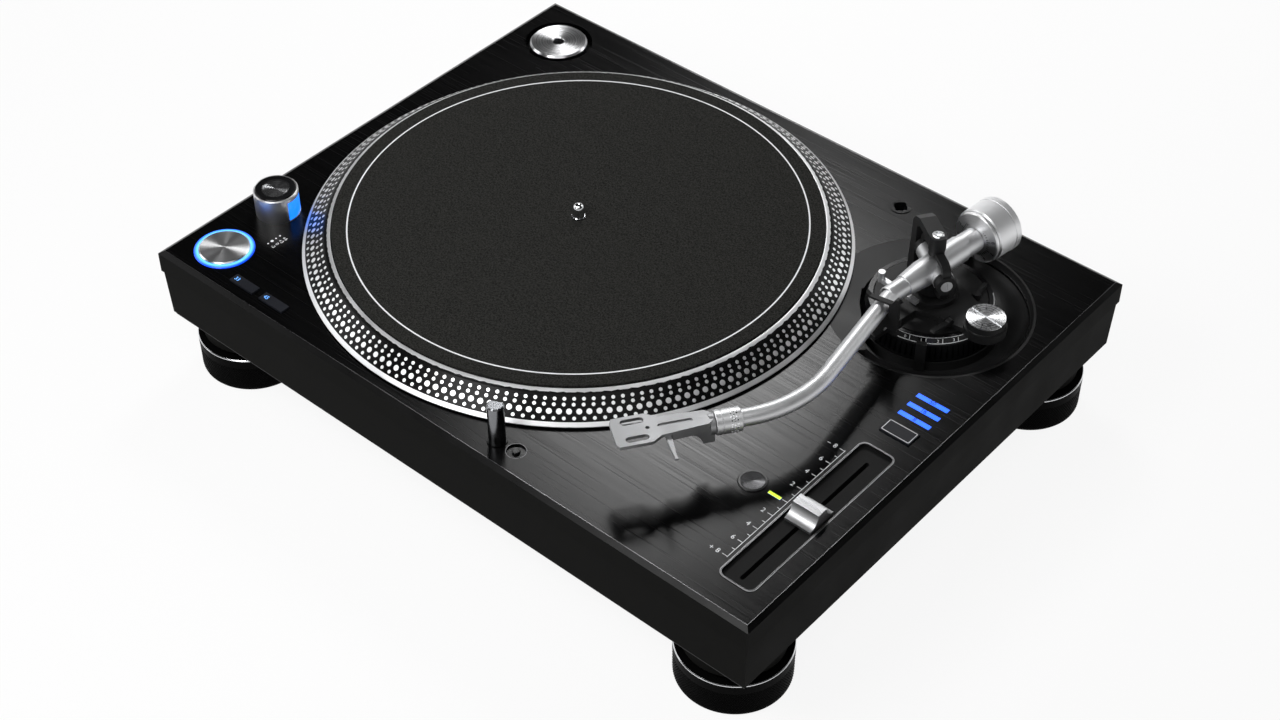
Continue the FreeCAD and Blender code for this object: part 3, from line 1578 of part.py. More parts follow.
def gimbal():
    """The fixed arch, the ring that turns under it, and the screws at the pivots."""
    arch = node("gimbal_arch", "arm_x", "arm_y", "arm_heading + gimbal_turn")
    outer = "0 - arch_inner - arch_leg"
    outline = [
        ("0 - arch_inner - arch_leg - arch_foot", "base_disc_top"),
        ("0 - arch_inner", "base_disc_top"),
        ("0 - arch_inner", "arch_top - arch_bar - arch_inner_corner"),
        ("arch_inner_corner - arch_inner", "arch_top - arch_bar"),
        ("0", "arch_top - arch_bar"),
        ("0", "arch_top"),
        ("0 - arch_flat_reach", "arch_top"),
        ("0 - arch_corner_reach", "arch_top - arch_corner_drop"),
        (outer, "arch_top - arch_cheek_drop"),
    ]
    pad(arch, "bar", [outline], "0", "2 * arch_half_width", "XZ_Plane", both=True)
    boss = [ring("0", "0", "arch_boss")]
    pad(arch, "boss", boss, "arch_boss_low", "arch_top + arch_boss_proud - arch_boss_low")
    bore = [ring("0", "0", "arch_pin + seat_gap / 2")]
    cut(arch, "screw_bore", bore, "arch_boss_low - overcut", None, up=True)
    cut(arch, "screw_seat", [ring("0", "0", "arch_screw + seat_gap / 2")], "arch_top + arch_seat_over",
        "arch_seat")
    screw = node("arch_screw", "arm_x", "arm_y")
    low = "arch_top + arch_seat_over - arch_seat"
    profile = [
        ("0", "arm_height + gimbal_rise - arch_pin_depth"),
        ("arch_pin - run_gap", "arm_height + gimbal_rise - arch_pin_depth + arch_pin_tip"),
        ("arch_pin - run_gap", low),
        ("arch_screw", low),
        ("arch_screw", "arch_screw_top - arch_screw_bevel"),
        ("arch_screw - arch_screw_bevel", "arch_screw_top"),
        ("0", "arch_screw_top"),
    ]
    turn(screw, "screw", [profile])
    cut(screw, "drive", [box("0", "0", "drive_half", "drive_side")], "arch_screw_top", "drive_depth")
    cut(screw, "cross_drive", [box("0", "0", "drive_side", "drive_half")], "arch_screw_top", "drive_depth")
    frame = node("gimbal_ring", "arm_x", "arm_y", "arm_heading + gimbal_turn")
    outline = soft_box("0", "arm_height", "gimbal_reach", "gimbal_rise", "gimbal_corner")
    hole = soft_box("0", "arm_height", "gimbal_inner", "gimbal_inner_rise", "gimbal_inner_corner")
    pad(frame, "loop", [outline, hole], "0", "2 * gimbal_half_width", "XZ_Plane", both=True)
    for name, start, sign in (("near", "gimbal_inner", 1), ("far", "0 - gimbal_reach", -1)):
        length = "gimbal_boss_end - gimbal_inner" if sign > 0 else "gimbal_reach - gimbal_inner"
        pad(frame, f"{name}_boss", [ring("0", "arm_height", "gimbal_boss")], start, length, "YZ_Plane")
    pad(frame, "top_lug", [ring("0", "0", "arch_boss - lug_inset")], "arm_height + gimbal_inner_rise",
        "gimbal_rise - gimbal_inner_rise")
    pad(frame, "foot_lug", [ring("0", "0", "foot_lug")], "turret_top + foot_lug_gap",
        "arm_height - gimbal_inner_rise - turret_top - foot_lug_gap")
    pad(frame, "shaft", [ring("0", "0", "pivot_shaft")], "turret_top - pivot_depth + pivot_end_gap",
        "pivot_depth + 2 * pivot_end_gap")
    cut(frame, "top_cup", [ring("0", "0", "arch_pin")], "arm_height + gimbal_rise", "cup_depth")
    bore = [ring("0", "arm_height", "pivot_pin + seat_gap / 2")]
    cut(frame, "side_bore", bore, "0 - gimbal_reach - overcut", None, "YZ_Plane", up=True)
    seat = [ring("0", "arm_height", "pivot_screw + seat_gap / 2")]
    cut(frame, "side_seat", seat, "gimbal_boss_end", "side_seat", "YZ_Plane")
    screws = node("pivot_screws", "arm_x", "arm_y", "arm_heading + gimbal_turn")
    profile = [
        ("cross_reach - pivot_cone", "0"),
        ("cross_reach + pivot_cone_room", "pivot_pin"),
        ("gimbal_boss_end - side_seat", "pivot_pin"),
        ("gimbal_boss_end - side_seat", "pivot_screw"),
        ("gimbal_boss_end + pivot_proud", "pivot_screw"),
        ("gimbal_boss_end + pivot_proud", "0"),
    ]
    turn(screws, "near_screw", [profile], role="XY_Plane", axis="H_Axis")
    screws.setExpression("Placement.Base.z", bind("arm_height"))
    cut(screws, "slot", [box("0", "0", "pivot_slot_side", "pivot_slot")], "gimbal_boss_end + pivot_proud",
        "pivot_slot_depth", "YZ_Plane")
    profile = [
        ("pivot_cone - cross_reach", "0"),
        ("0 - gimbal_reach", "0"),
        ("0 - gimbal_reach", "pivot_pin"),
        ("0 - cross_reach - pivot_cone_room", "pivot_pin"),
    ]
    turn(screws, "far_pin", [profile], role="XY_Plane", axis="H_Axis")


def arm_placement():
    """The arm's own frame: X runs forwards along the arm and dips a little."""
    turned = FreeCAD.Rotation(value("arm_heading"), value("arm_dip"), 0)
    return FreeCAD.Placement(vector("arm_x", "arm_y", "arm_height"), turned)


def arm_node(name):
    """A body in the arm's frame."""
    body = node(name, "arm_x", "arm_y")
    body.Placement = arm_placement()
    body.setExpression("Placement.Base.z", bind("arm_height"))
    return body


def arm_housing():
    """The silver cross at the pivot with the sleeve that holds the tube."""
    body = arm_node("arm_housing")
    profile = [
        ("0 - housing_back", "0"),
        ("tube_start", "0"),
        ("tube_start", "tube_radius"),
        ("sleeve_end", "tube_radius"),
        ("sleeve_end", "sleeve_radius - sleeve_bevel_in"),
        ("sleeve_end - sleeve_bevel", "sleeve_radius"),
        ("housing_step", "sleeve_radius"),
        ("housing_step", "housing_step_radius"),
        ("housing_front", "housing_radius"),
        ("0 - housing_back", "housing_radius"),
    ]
    turn(body, "barrel", [profile], role="XY_Plane", axis="H_Axis")
    doc.recompute()
    cross = doc.addObject("Part::Cylinder", "housing_cross")
    cross.setExpression("Radius", bind("cross_radius"))
    cross.setExpression("Height", bind("2 * cross_reach"))
    pivots = []
    along = FreeCAD.Rotation(FreeCAD.Vector(0, 0, 1), value("arm_heading + gimbal_turn"))
    lying = along.multiply(FreeCAD.Rotation(FreeCAD.Vector(0, 1, 0), 90))
    pivot = vector("arm_x", "arm_y", "arm_height")
    start = along.multVec(FreeCAD.Vector(-value("cross_reach"), 0, 0)) + pivot
    cross.Placement = FreeCAD.Placement(start, lying)
    for sign in (-1, 1):
        cup = doc.addObject("Part::Cone", f"housing_cup_{len(pivots)}")
        cup.setExpression("Radius1", bind("pivot_pin + cup_room"))
        cup.Radius2 = 0
        cup.setExpression("Height", bind("cup_length"))
        facing = FreeCAD.Rotation(FreeCAD.Vector(0, 1, 0), -90 * sign)
        mouth = along.multVec(FreeCAD.Vector(sign * value("cross_reach"), 0, 0))
        cup.Placement = FreeCAD.Placement(mouth + pivot, along.multiply(facing))
        pivots.append(cup)
    joined = doc.addObject("Part::Fuse", "housing_joined")
    joined.Base = body
    joined.Tool = cross
    cups = doc.addObject("Part::MultiFuse", "housing_cups")
    cups.Shapes = pivots
    whole = doc.addObject("Part::Cut", "arm_housing_whole")
    whole.Base = joined
    whole.Tool = cups
    body.Label = "arm_housing_barrel"
    whole.Label = "arm_housing"
    NODES[NODES.index(body)] = whole


def tube_path():
    """The S-shaped centre line of the arm tube: straights joined by tangent arcs."""
    start = vector("tube_start", "0", "0")
    one = vector("bend_one_x", "0", "0")
    two = vector("bend_two_x", "bend_two_y", "0")
    end = vector("tube_end_x", "tube_end_y", "0")
    edges = []
    here = start
    for corner, after, radius in ((one, two, value("bend_one_radius")), (two, end, value("bend_two_radius"))):
        into = (corner - here).normalize()
        away = (after - corner).normalize()
        half = into.getAngle(away) / 2
        reach = radius * math.tan(half)
        first = corner - into * reach
        last = corner + away * reach
        middle = corner + (away - into).normalize() * (radius / math.cos(half) - radius)
        edges.append(Part.LineSegment(here, first).toShape())
        edges.append(Part.Arc(first, middle, last).toShape())
        here = last
    heading = (end - here).normalize()
    last = end - heading * value("collar_gap")
    edges.append(Part.LineSegment(here, last).toShape())
    return Part.Wire(edges), heading


def arm_tube():
    """The S-shaped tube, swept along straights and tangent arcs."""
    path, _ = tube_path()
    sections = []
    for radius in ("tube_radius", "tube_bore"):
        circle = Part.Circle(vector("tube_start", "0", "0"), FreeCAD.Vector(1, 0, 0), value(radius))
        sections.append(Part.Wire([circle.toShape()]))
    outer, inner = (path.makePipeShell([section], True, False) for section in sections)
    tube = doc.addObject("Part::Feature", "arm_tube")
    tube.Label = "arm_tube"
    tube.Shape = outer.cut(inner)
    tube.Placement = arm_placement()
    NODES.append(tube)


def head_placement():
    """The headshell's frame: its origin is at the collar's front and X runs out of the tube."""
    _, heading = tube_path()
    angle = math.degrees(math.atan2(heading.y, heading.x))
    local = FreeCAD.Placement(vector("tube_end_x", "tube_end_y", "0"), FreeCAD.Rotation(angle, 0, 0))
    return arm_placement().multiply(local)


def head_node(name):
    """A body in the headshell's frame."""
    body = doc.addObject("PartDesign::Body", name)
    body.Label = name
    body.Placement = head_placement()
    NODES.append(body)
    return body


def rear_end():
    """What is behind the pivot: scale stub and shaft, counterweight on its bush, and the tracking dial."""
    stub = arm_node("rear_stub")
    profile = [
        ("0 - housing_back", "0"),
        ("0 - housing_back", "stub_radius"),
        ("0 - housing_back - stub_length + stub_gap", "stub_radius"),
        ("0 - housing_back - stub_length + stub_gap", "shaft_radius"),
        ("1 - weight_back", "shaft_radius"),
        ("1 - weight_back", "0"),
    ]
    turn(stub, "stub", [profile], role="XY_Plane", axis="H_Axis")
    bush = arm_node("counterweight_bush")
    profile = [
        ("0 - dial_front - bush_gap", "shaft_radius + run_gap"),
        ("0 - dial_front - bush_gap", "bush_radius"),
        ("0 - weight_back", "bush_radius"),
        ("0 - weight_back", "shaft_radius + run_gap"),
    ]
    turn(bush, "bush", [profile], role="XY_Plane", axis="H_Axis")
    weight = arm_node("counterweight")
    line_end = "weight_line + weight_line_width"
    profile = [
        ("0 - weight_front", "bush_radius + run_gap"),
        ("0 - weight_front", "weight_radius - weight_bevel"),
        ("0 - weight_front - weight_bevel", "weight_radius"),
        (f"{line_end} - weight_back", "weight_radius"),
        (f"{line_end} - weight_line_slope - weight_back", "weight_radius - weight_line_depth"),
        ("weight_line + weight_line_slope - weight_back", "weight_radius - weight_line_depth"),
        ("weight_line - weight_back", "weight_radius"),
        ("0 - weight_back + weight_bevel", "weight_radius"),
        ("0 - weight_back", "weight_radius - weight_bevel"),
        ("0 - weight_back", "weight_radius - weight_face"),
        ("weight_dish - weight_back", "weight_radius - weight_hub"),
        ("weight_dish - weight_back", "bush_radius + run_gap"),
    ]
    turn(weight, "weight", [profile], role="XY_Plane", axis="H_Axis")
    dial = arm_node("tracking_dial")
    profile = [
        ("0 - dial_front", "stub_radius + dial_bore_gap"),
        ("0 - dial_front - dial_cone", "dial_radius - dial_edge"),
        ("0 - dial_front - dial_cone - dial_edge_length", "dial_radius"),
        ("dial_back_gap - weight_front", "dial_radius"),
        ("dial_back_gap - weight_front", "bush_radius + run_gap"),
        ("0 - dial_front - dial_recess", "bush_radius + run_gap"),
    ]
    turn(dial, "dial", [profile], role="XY_Plane", axis="H_Axis")


def collar_and_headshell():
    """The locking collar on the tube's end, and the headshell with its plug, pins and finger lift."""
    collar = head_node("locking_collar")
    back = "0 - collar_gap - collar_length"
    front = "0 - collar_gap"
    profile = [
        (back, "tube_radius + run_gap"),
        (back, "collar_radius - collar_bevel"),
        (f"{back} + collar_bevel", "collar_radius"),
        (f"{front} - collar_front", "collar_radius"),
        (f"{front} - collar_front + collar_line_start", "collar_radius - collar_line_depth"),
        (f"{front} - collar_front + collar_line_foot", "collar_radius - collar_line_depth"),
        (f"{front} - collar_front + collar_line_end", "collar_radius"),
        (f"{front} - collar_edge", "collar_radius"),
        (front, "collar_radius - collar_edge"),
        (front, "tube_radius + run_gap"),
    ]
    turn(collar, "collar", [profile], role="XY_Plane", axis="H_Axis")
    shell = head_node("headshell")
    profile = [
        ("0 - plug_length", "0"),
        ("shell_flange_front", "0"),
        ("shell_flange_front", "shell_flange"),
        ("0 - collar_gap / 2", "shell_flange"),
        ("0 - collar_gap / 2", "plug_radius"),
        ("0 - plug_length", "plug_radius"),
    ]
    turn(shell, "plug", [profile], role="XY_Plane", axis="H_Axis")
    outline = [
        ("shell_neck_half", "0 - shell_neck_half"),
        ("shell_waist", "0 - shell_waist_half"),
        ("shell_shoulder", "0 - shell_half_width"),
        ("shell_front - shell_tip_cut", "0 - shell_half_width"),
        ("shell_front", "0 - shell_half_width + shell_tip_bow"),
        ("shell_front", "shell_half_width - shell_tip_bow"),
        ("shell_front - shell_tip_cut", "shell_half_width"),
        ("shell_shoulder", "shell_half_width"),
        ("shell_waist", "shell_waist_half"),
        ("shell_neck_half", "shell_neck_half"),
        ("0", "0", "shell_neck_half"),
    ]
    outline = round_first(outline, "shell_neck_half")
    pad(shell, "plate", [outline], "shell_top - shell_sheet", "shell_sheet")
    neck = [
        ("shell_neck_half", "0 - shell_neck_half"),
        ("shell_wall_end", "shell_wall_inset - shell_waist_half"),
        ("shell_wall_end", "shell_waist_half - shell_wall_inset"),
        ("shell_neck_half", "shell_neck_half"),
        ("0", "0", "shell_neck_half"),
    ]
    neck = round_first(neck, "shell_neck_half")
    pad(shell, "neck", [neck], "shell_top - shell_wall", "shell_wall - shell_sheet / 2")
    chin = [
        ("0", "0 - shell_chin_low"),
        ("shell_chin_length", "0 - shell_chin_low"),
        ("shell_chin_front", "shell_top - shell_wall", "shell_chin_hollow", -1),
        ("shell_chin_front", "shell_top - shell_sheet"),
        ("shell_neck_half", "shell_top - shell_sheet"),
        ("0", "shell_top - shell_wall + chin_overlap"),
    ]
    pad(shell, "chin", [chin], "0", "2 * shell_neck_half", "XZ_Plane", both=True)
    slots = [
        slot_along_x("shell_slot_x", f"{side} * shell_slot_y", "shell_slot_half", "shell_slot_radius")
        for side in (-1, 1)
    ]
    cut(shell, "slots", slots + [ring("shell_hole_x", "0", "shell_hole_radius")], "shell_top")
    pins = [ring(f"{y} * pin_spread", f"{z} * pin_spread", "pin_radius") for y in (-1, 1) for z in (-1, 1)]
    pad(shell, "contacts", pins, "0 - plug_length - pin_length", "pin_length + pin_bite", "YZ_Plane")
    line = slot_along_x("shell_groove_x", "0", "shell_groove_length", "shell_groove_half")
    cut(shell, "groove", [line], "shell_top", "shell_groove_depth")
    finger = head_node("finger_lift")
    outline = [
        ("finger_x - finger_width / 2", "finger_root"),
        ("finger_x + finger_width / 2", "finger_root"),
        ("finger_x + finger_width / 2", "finger_taper"),
        ("finger_x + finger_tip_half", "finger_reach - finger_tip"),
        ("finger_x + finger_tip_half", "finger_reach"),
        ("finger_x - finger_tip_half", "finger_reach"),
        ("finger_x - finger_tip_half", "finger_reach - finger_tip"),
        ("finger_x - finger_width / 2", "finger_taper"),
    ]
    low = "shell_top - shell_sheet - finger_sheet"
    pad(finger, "finger", [outline], low, "finger_sheet")


def rest_node(name):
    """A body in the arm rest's frame, which lies square to the tube where it rests."""
    heading = FreeCAD.Rotation(FreeCAD.Vector(0, 0, 1), value("arm_heading"))
    place = heading.multVec(vector("rest_x", "rest_y", "0"))
    body = doc.addObject("PartDesign::Body", name)
    body.Label = name
    turned = FreeCAD.Rotation(FreeCAD.Vector(0, 0, 1), value("arm_heading + rest_turn"))
    body.Placement = FreeCAD.Placement(place + vector("arm_x", "arm_y", "0"), turned)
    NODES.append(body)
    return body


def arm_rest():
    """The arm rest: a post with a saddle under the tube, and the clip that hooks over the tube."""
    rest = rest_node("arm_rest")
    outline = [
        ("0 - rest_half_width - rest_foot_out", "web_top"),
        ("rest_half_width - rest_foot_in", "web_top"),
        ("rest_half_width - rest_shoulder_in", "clip_pin_height - rest_shoulder"),
        ("clip_pin_y + clip_eye", "clip_pin_height - clip_eye"),
        ("clip_pin_y + clip_eye", "rest_saddle"),
        ("0 - saddle_reach", "rest_saddle"),
        ("0 - saddle_reach", "rest_saddle - saddle_sheet"),
        ("0 - rest_half_width - rest_foot_out", "rest_saddle - saddle_brace"),
    ]
    pad(rest, "post", [outline], "0 - rest_sheet", "rest_sheet", "YZ_Plane")
    bore = [ring("clip_pin_y", "clip_pin_height", "clip_pin_radius + run_gap")]
    cut(rest, "pin_bore", bore, "0 - rest_sheet - overcut", None, "YZ_Plane", up=True)
    clip = rest_node("arm_clip")
    roof_top = "clip_roof + clip_roof_sheet"
    outline = [
        ("clip_pin_y - clip_eye", "clip_pin_height - clip_eye"),
        ("clip_pin_y + clip_eye", "clip_pin_height - clip_eye"),
        ("clip_pin_y + clip_eye", "clip_roof - clip_cheek"),
        ("clip_pin_y + horn_far", "clip_horn"),
        ("clip_pin_y + horn_near", "clip_horn"),
        ("clip_pin_y - horn_foot", roof_top),
        ("0 - clip_roof_end", roof_top),
        ("0 - clip_roof_end - clip_lip", f"{roof_top} + clip_lip_rise"),
        ("0 - clip_roof_end - clip_lip", f"{roof_top} - clip_lip_drop"),
        ("0 - clip_roof_end", "clip_roof"),
        ("clip_pin_y - clip_eye", "clip_roof"),
    ]
    pad(clip, "hook", [outline], "clip_shift", "clip_sheet", "YZ_Plane")
    pin = [ring("clip_pin_y", "clip_pin_height", "clip_pin_radius")]
    pad(clip, "pin", pin, "0 - rest_sheet", "rest_sheet + clip_pin_bite", "YZ_Plane")


def cue_parts():
    """The cue lifter's bar, post and guide, its lever, and the height lock lever."""
    lifter = node("cue_lifter", "arm_x", "arm_y", "arm_heading")
    half = "lifter_half_width"
    bar = span(f"lifter_x - {half}", "0 - lifter_left", f"lifter_x + {half}", "lifter_right")
    pad(lifter, "bar", [bar], "lifter_low", "lifter_high - lifter_low")
    pad(lifter, "post", [ring("lifter_x", "lifter_post_in - lifter_left", "lifter_post")], "lifter_low",
        "lifter_post_top - lifter_low")
    pad(lifter, "guide", [ring("lifter_x", "0 - lifter_y", "lifter_shaft")], "lifter_shaft_low",
        "lifter_low - lifter_shaft_low")
    lever = node("cue_lever", "arm_x", "arm_y", "arm_heading")
    tip = "lever_x + lever_length"
    start = "lever_y + lever_half_width + lever_gap"
    hub = [ring("lever_x", "lever_height", "lever_hub")]
    pad(lever, "hub", hub, f"0 - ({start}) - lever_sheet", "lever_sheet", "XZ_Plane")
    arm = [
        ("lever_x", "lever_height - lever_half_height"),
        (f"{tip} - lever_tip_cut", "lever_height + lever_tip_low"),
        (tip, "lever_height + lever_tip"),
        (f"{tip} - lever_tip_cut", "lever_height + lever_tip_high"),
        ("lever_x", "lever_height + lever_half_height"),
    ]
    pad(lever, "arm", [arm], f"0 - ({start}) - lever_sheet", "lever_sheet", "XZ_Plane")
    pin = [ring("lever_x", "lever_height", "lever_pin")]
    pad(lever, "pin", pin, f"0 - ({start})", "2 * lever_half_width + lever_gap", "XZ_Plane")
    lock = node("lock_lever", "arm_x + lock_across", "arm_y + lock_along", "lock_turn")
    low = "base_disc_top + run_gap"
    pad(lock, "hub", [ring("0", "0", "lock_hub")], low, "lock_height")
    pad(lock, "arm", [span("0", "0 - lock_half_width", "lock_length", "lock_half_width")],
        f"{low} + lock_height - lock_sheet", "lock_sheet")
    knob = node("anti_skate_knob", "arm_x", "arm_y", "arm_heading")
    low = "skate_skirt_top + run_gap"
    profile_low = [ring("0", "skate_reach", "skate_radius")]
    pad(knob, "drum", profile_low, low, "skate_top - skate_skirt_top - run_gap")
    pad(knob, "shaft", [ring("0", "skate_reach", "skate_shaft")], f"{low} - skate_shaft_reach",
        "skate_shaft_length")
    cut(knob, "line", [box("0", "skate_reach", "skate_line_half", "skate_radius + overcut")], "skate_top",
        "skate_line_depth")


def rear_panel():
    """What stands in the rear wall's recess: signal jacks, earth terminal, output switch and power inlet."""
    jacks = node("rear_terminals")
    floor = f"0 - ({JACK_FLOOR})"
    places = [f"jack_x - jack_reach + {index} * jack_pitch" for index in range(2)]
    bridge = span("jack_x - jack_reach - bridge_half", f"{JACK_MIDDLE} - bridge_half", "earth_x + bridge_earth",
                  f"{JACK_MIDDLE} + bridge_half")
    pad(jacks, "bridge", [bridge], f"{floor} - bridge_sheet", "bridge_sheet", "XZ_Plane")
    barrels = [ring(x, JACK_MIDDLE, "jack_radius") for x in places]
    pad(jacks, "barrels", barrels, f"{floor} - jack_length", "jack_length", "XZ_Plane")
    bores = [ring(x, JACK_MIDDLE, "jack_bore") for x in places]
    cut(jacks, "bores", bores, f"{floor} - jack_length", "jack_length - jack_end", "XZ_Plane", up=True)
    steps = (("stem", "earth_stem", "earth_stem_length"), ("knob", "earth_radius", "earth_knob"))
    for part, radius, length in steps:
        outline = [ring("earth_x", JACK_MIDDLE, radius)]
        pad(jacks, f"earth_{part}", outline, f"{floor} - earth_length", length, "XZ_Plane")
    slider = node("switch_slider")
    low = f"{floor} + switch_seat - run_gap"
    knob = [box("switch_x - switch_travel / 2", JACK_MIDDLE, "switch_knob_half", "switch_half_height - seat_gap")]
    pad(slider, "slider", knob, f"{low} - switch_reach", "switch_reach", "XZ_Plane")
    inlet = node("power_inlet")
    wide, high = "inlet_half_width", "inlet_half_height"
    block = soft_box("inlet_x", JACK_MIDDLE, f"{wide} + inlet_wall", f"{high} + inlet_wall", "inlet_wall")
    pad(inlet, "block", [block], f"{floor} - inlet_depth", "inlet_depth", "XZ_Plane")
    mouth = soft_box("inlet_x", JACK_MIDDLE, wide, high, "inlet_wall")
    cut(inlet, "mouth", [mouth], f"{floor} - inlet_depth", "inlet_depth - inlet_wall", "XZ_Plane", up=True)
    pins = [ring(f"inlet_x + {side} * inlet_pin_spread", JACK_MIDDLE, "inlet_pin") for side in (-1, 1)]
    pad(inlet, "pins", pins, f"{floor} - inlet_depth + inlet_pin_start",
        "inlet_depth - inlet_pin_short", "XZ_Plane")


def inner_parts():
    """The control board that hangs under the deck with its power unit."""
    board = node("control_board", "board_x", "board_y")
    outline = box("0", "0", "board_half_width", "board_half_length")
    low = f"{DECK_UNDER} - board_drop"
    pad(board, "sheet", [outline], low, "board_sheet")
    stands = [ring(f"{x} * (board_half_width - stand_inset)", "0", "stand_radius") for x in (-1, 1)]
    pad(board, "stands", stands, low, "board_drop")
    supply = box("0", "0", "supply_half_width", "supply_half_length")
    pad(board, "supply", [supply], f"{low} - supply_height", "supply_height + board_sheet / 2")


def check_and_write():
    """Stop if any feature failed, then write one file for each node."""
    doc.recompute()
    failed = [item.Name for item in doc.Objects if "Invalid" in item.State or "Error" in item.State]
    if failed:
        raise RuntimeError(f"features failed: {failed}")
    os.makedirs("parts", exist_ok=True)
    names = [item.Label for item in NODES]
    if len(set(names)) != len(names):
        raise RuntimeError("two nodes share a name")
    for item in NODES:
        shape = item.Shape
        if shape.isNull() or not shape.isValid():
            raise RuntimeError(f"{item.Label} has no valid shape")
        shape.exportStep(f"parts/{item.Label}.step")
        corners = shape.BoundBox
        print(f"{item.Label:20s} solids {len(shape.Solids)} volume {shape.Volume:10.1f} "
              f"z {corners.ZMin:7.2f} to {corners.ZMax:7.2f}")
    print(len(NODES), "nodes")


top_plate()
base_body()
bottom_plate()
bottom_screws()
for number, (foot_x, foot_y) in enumerate(foot_places(), start=1):
    foot(number, foot_x, foot_y)
platter()
spindle()
drive()
adapter()
start_button()
strobe_tower()
key("speed_key_left", "key_left_x")
key("speed_key_right", "key_right_x")
range_button()
pop_up_light()
lights()
fader()
buttons()
headshell_socket()
arm_dish()
height_ring()
arm_base()
gimbal()
arm_housing()
arm_tube()
rear_end()
collar_and_headshell()
arm_rest()
cue_parts()
rear_panel()
inner_parts()
check_and_write()
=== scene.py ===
"""Looks for a direct-drive record player for mixing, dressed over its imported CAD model."""

from __future__ import annotations

import json
import logging
import math
from collections.abc import Iterable
from dataclasses import dataclass, field
from enum import Enum

import bmesh
import bpy
from mathutils import Matrix, Vector


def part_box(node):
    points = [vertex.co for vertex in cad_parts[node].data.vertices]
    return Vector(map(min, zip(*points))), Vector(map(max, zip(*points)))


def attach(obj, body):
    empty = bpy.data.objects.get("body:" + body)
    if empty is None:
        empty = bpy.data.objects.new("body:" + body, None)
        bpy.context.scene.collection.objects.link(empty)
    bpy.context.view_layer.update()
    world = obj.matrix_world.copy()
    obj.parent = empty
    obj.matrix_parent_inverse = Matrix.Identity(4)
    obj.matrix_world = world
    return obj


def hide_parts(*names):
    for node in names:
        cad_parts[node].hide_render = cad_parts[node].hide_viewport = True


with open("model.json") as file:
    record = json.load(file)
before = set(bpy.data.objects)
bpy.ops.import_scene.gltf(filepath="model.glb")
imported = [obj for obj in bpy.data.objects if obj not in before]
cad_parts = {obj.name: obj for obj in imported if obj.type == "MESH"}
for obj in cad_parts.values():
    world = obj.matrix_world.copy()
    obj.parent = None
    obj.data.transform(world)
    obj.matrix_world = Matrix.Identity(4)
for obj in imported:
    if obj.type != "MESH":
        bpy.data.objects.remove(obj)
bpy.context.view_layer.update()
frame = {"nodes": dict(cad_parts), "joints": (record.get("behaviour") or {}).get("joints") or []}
LOG = logging.getLogger("record_player")
Material = bpy.types.Material
Socket = bpy.types.NodeSocket
Triple = tuple[float, float, float]
Profile = list[tuple[float, float]]
MM = 0.001
UP = Vector((0, 0, 1))
ROUND = 2 * math.pi
CORNERS = ((1, 1), (-1, 1), (-1, -1), (1, -1))


class Axis(Enum):
    """The row axes, as unit vectors."""

    X = (1.0, 0.0, 0.0)
    Y = (0.0, 1.0, 0.0)
    Z = (0.0, 0.0, 1.0)


def hoop(inner: float, outer: float, low: float, high: float) -> Profile:
    """The section of a flat ring, as radii and heights."""
    return [(inner, low), (outer, low), (outer, high), (inner, high)]


def turn(angle: float, about: str = "Z") -> Matrix:
    """A turn about an axis, in radians."""
    return Matrix.Rotation(angle, 4, about)


def shift(x: float = 0.0, y: float = 0.0, z: float = 0.0) -> Matrix:
    """A move along the axes."""
    return Matrix.Translation((x, y, z))


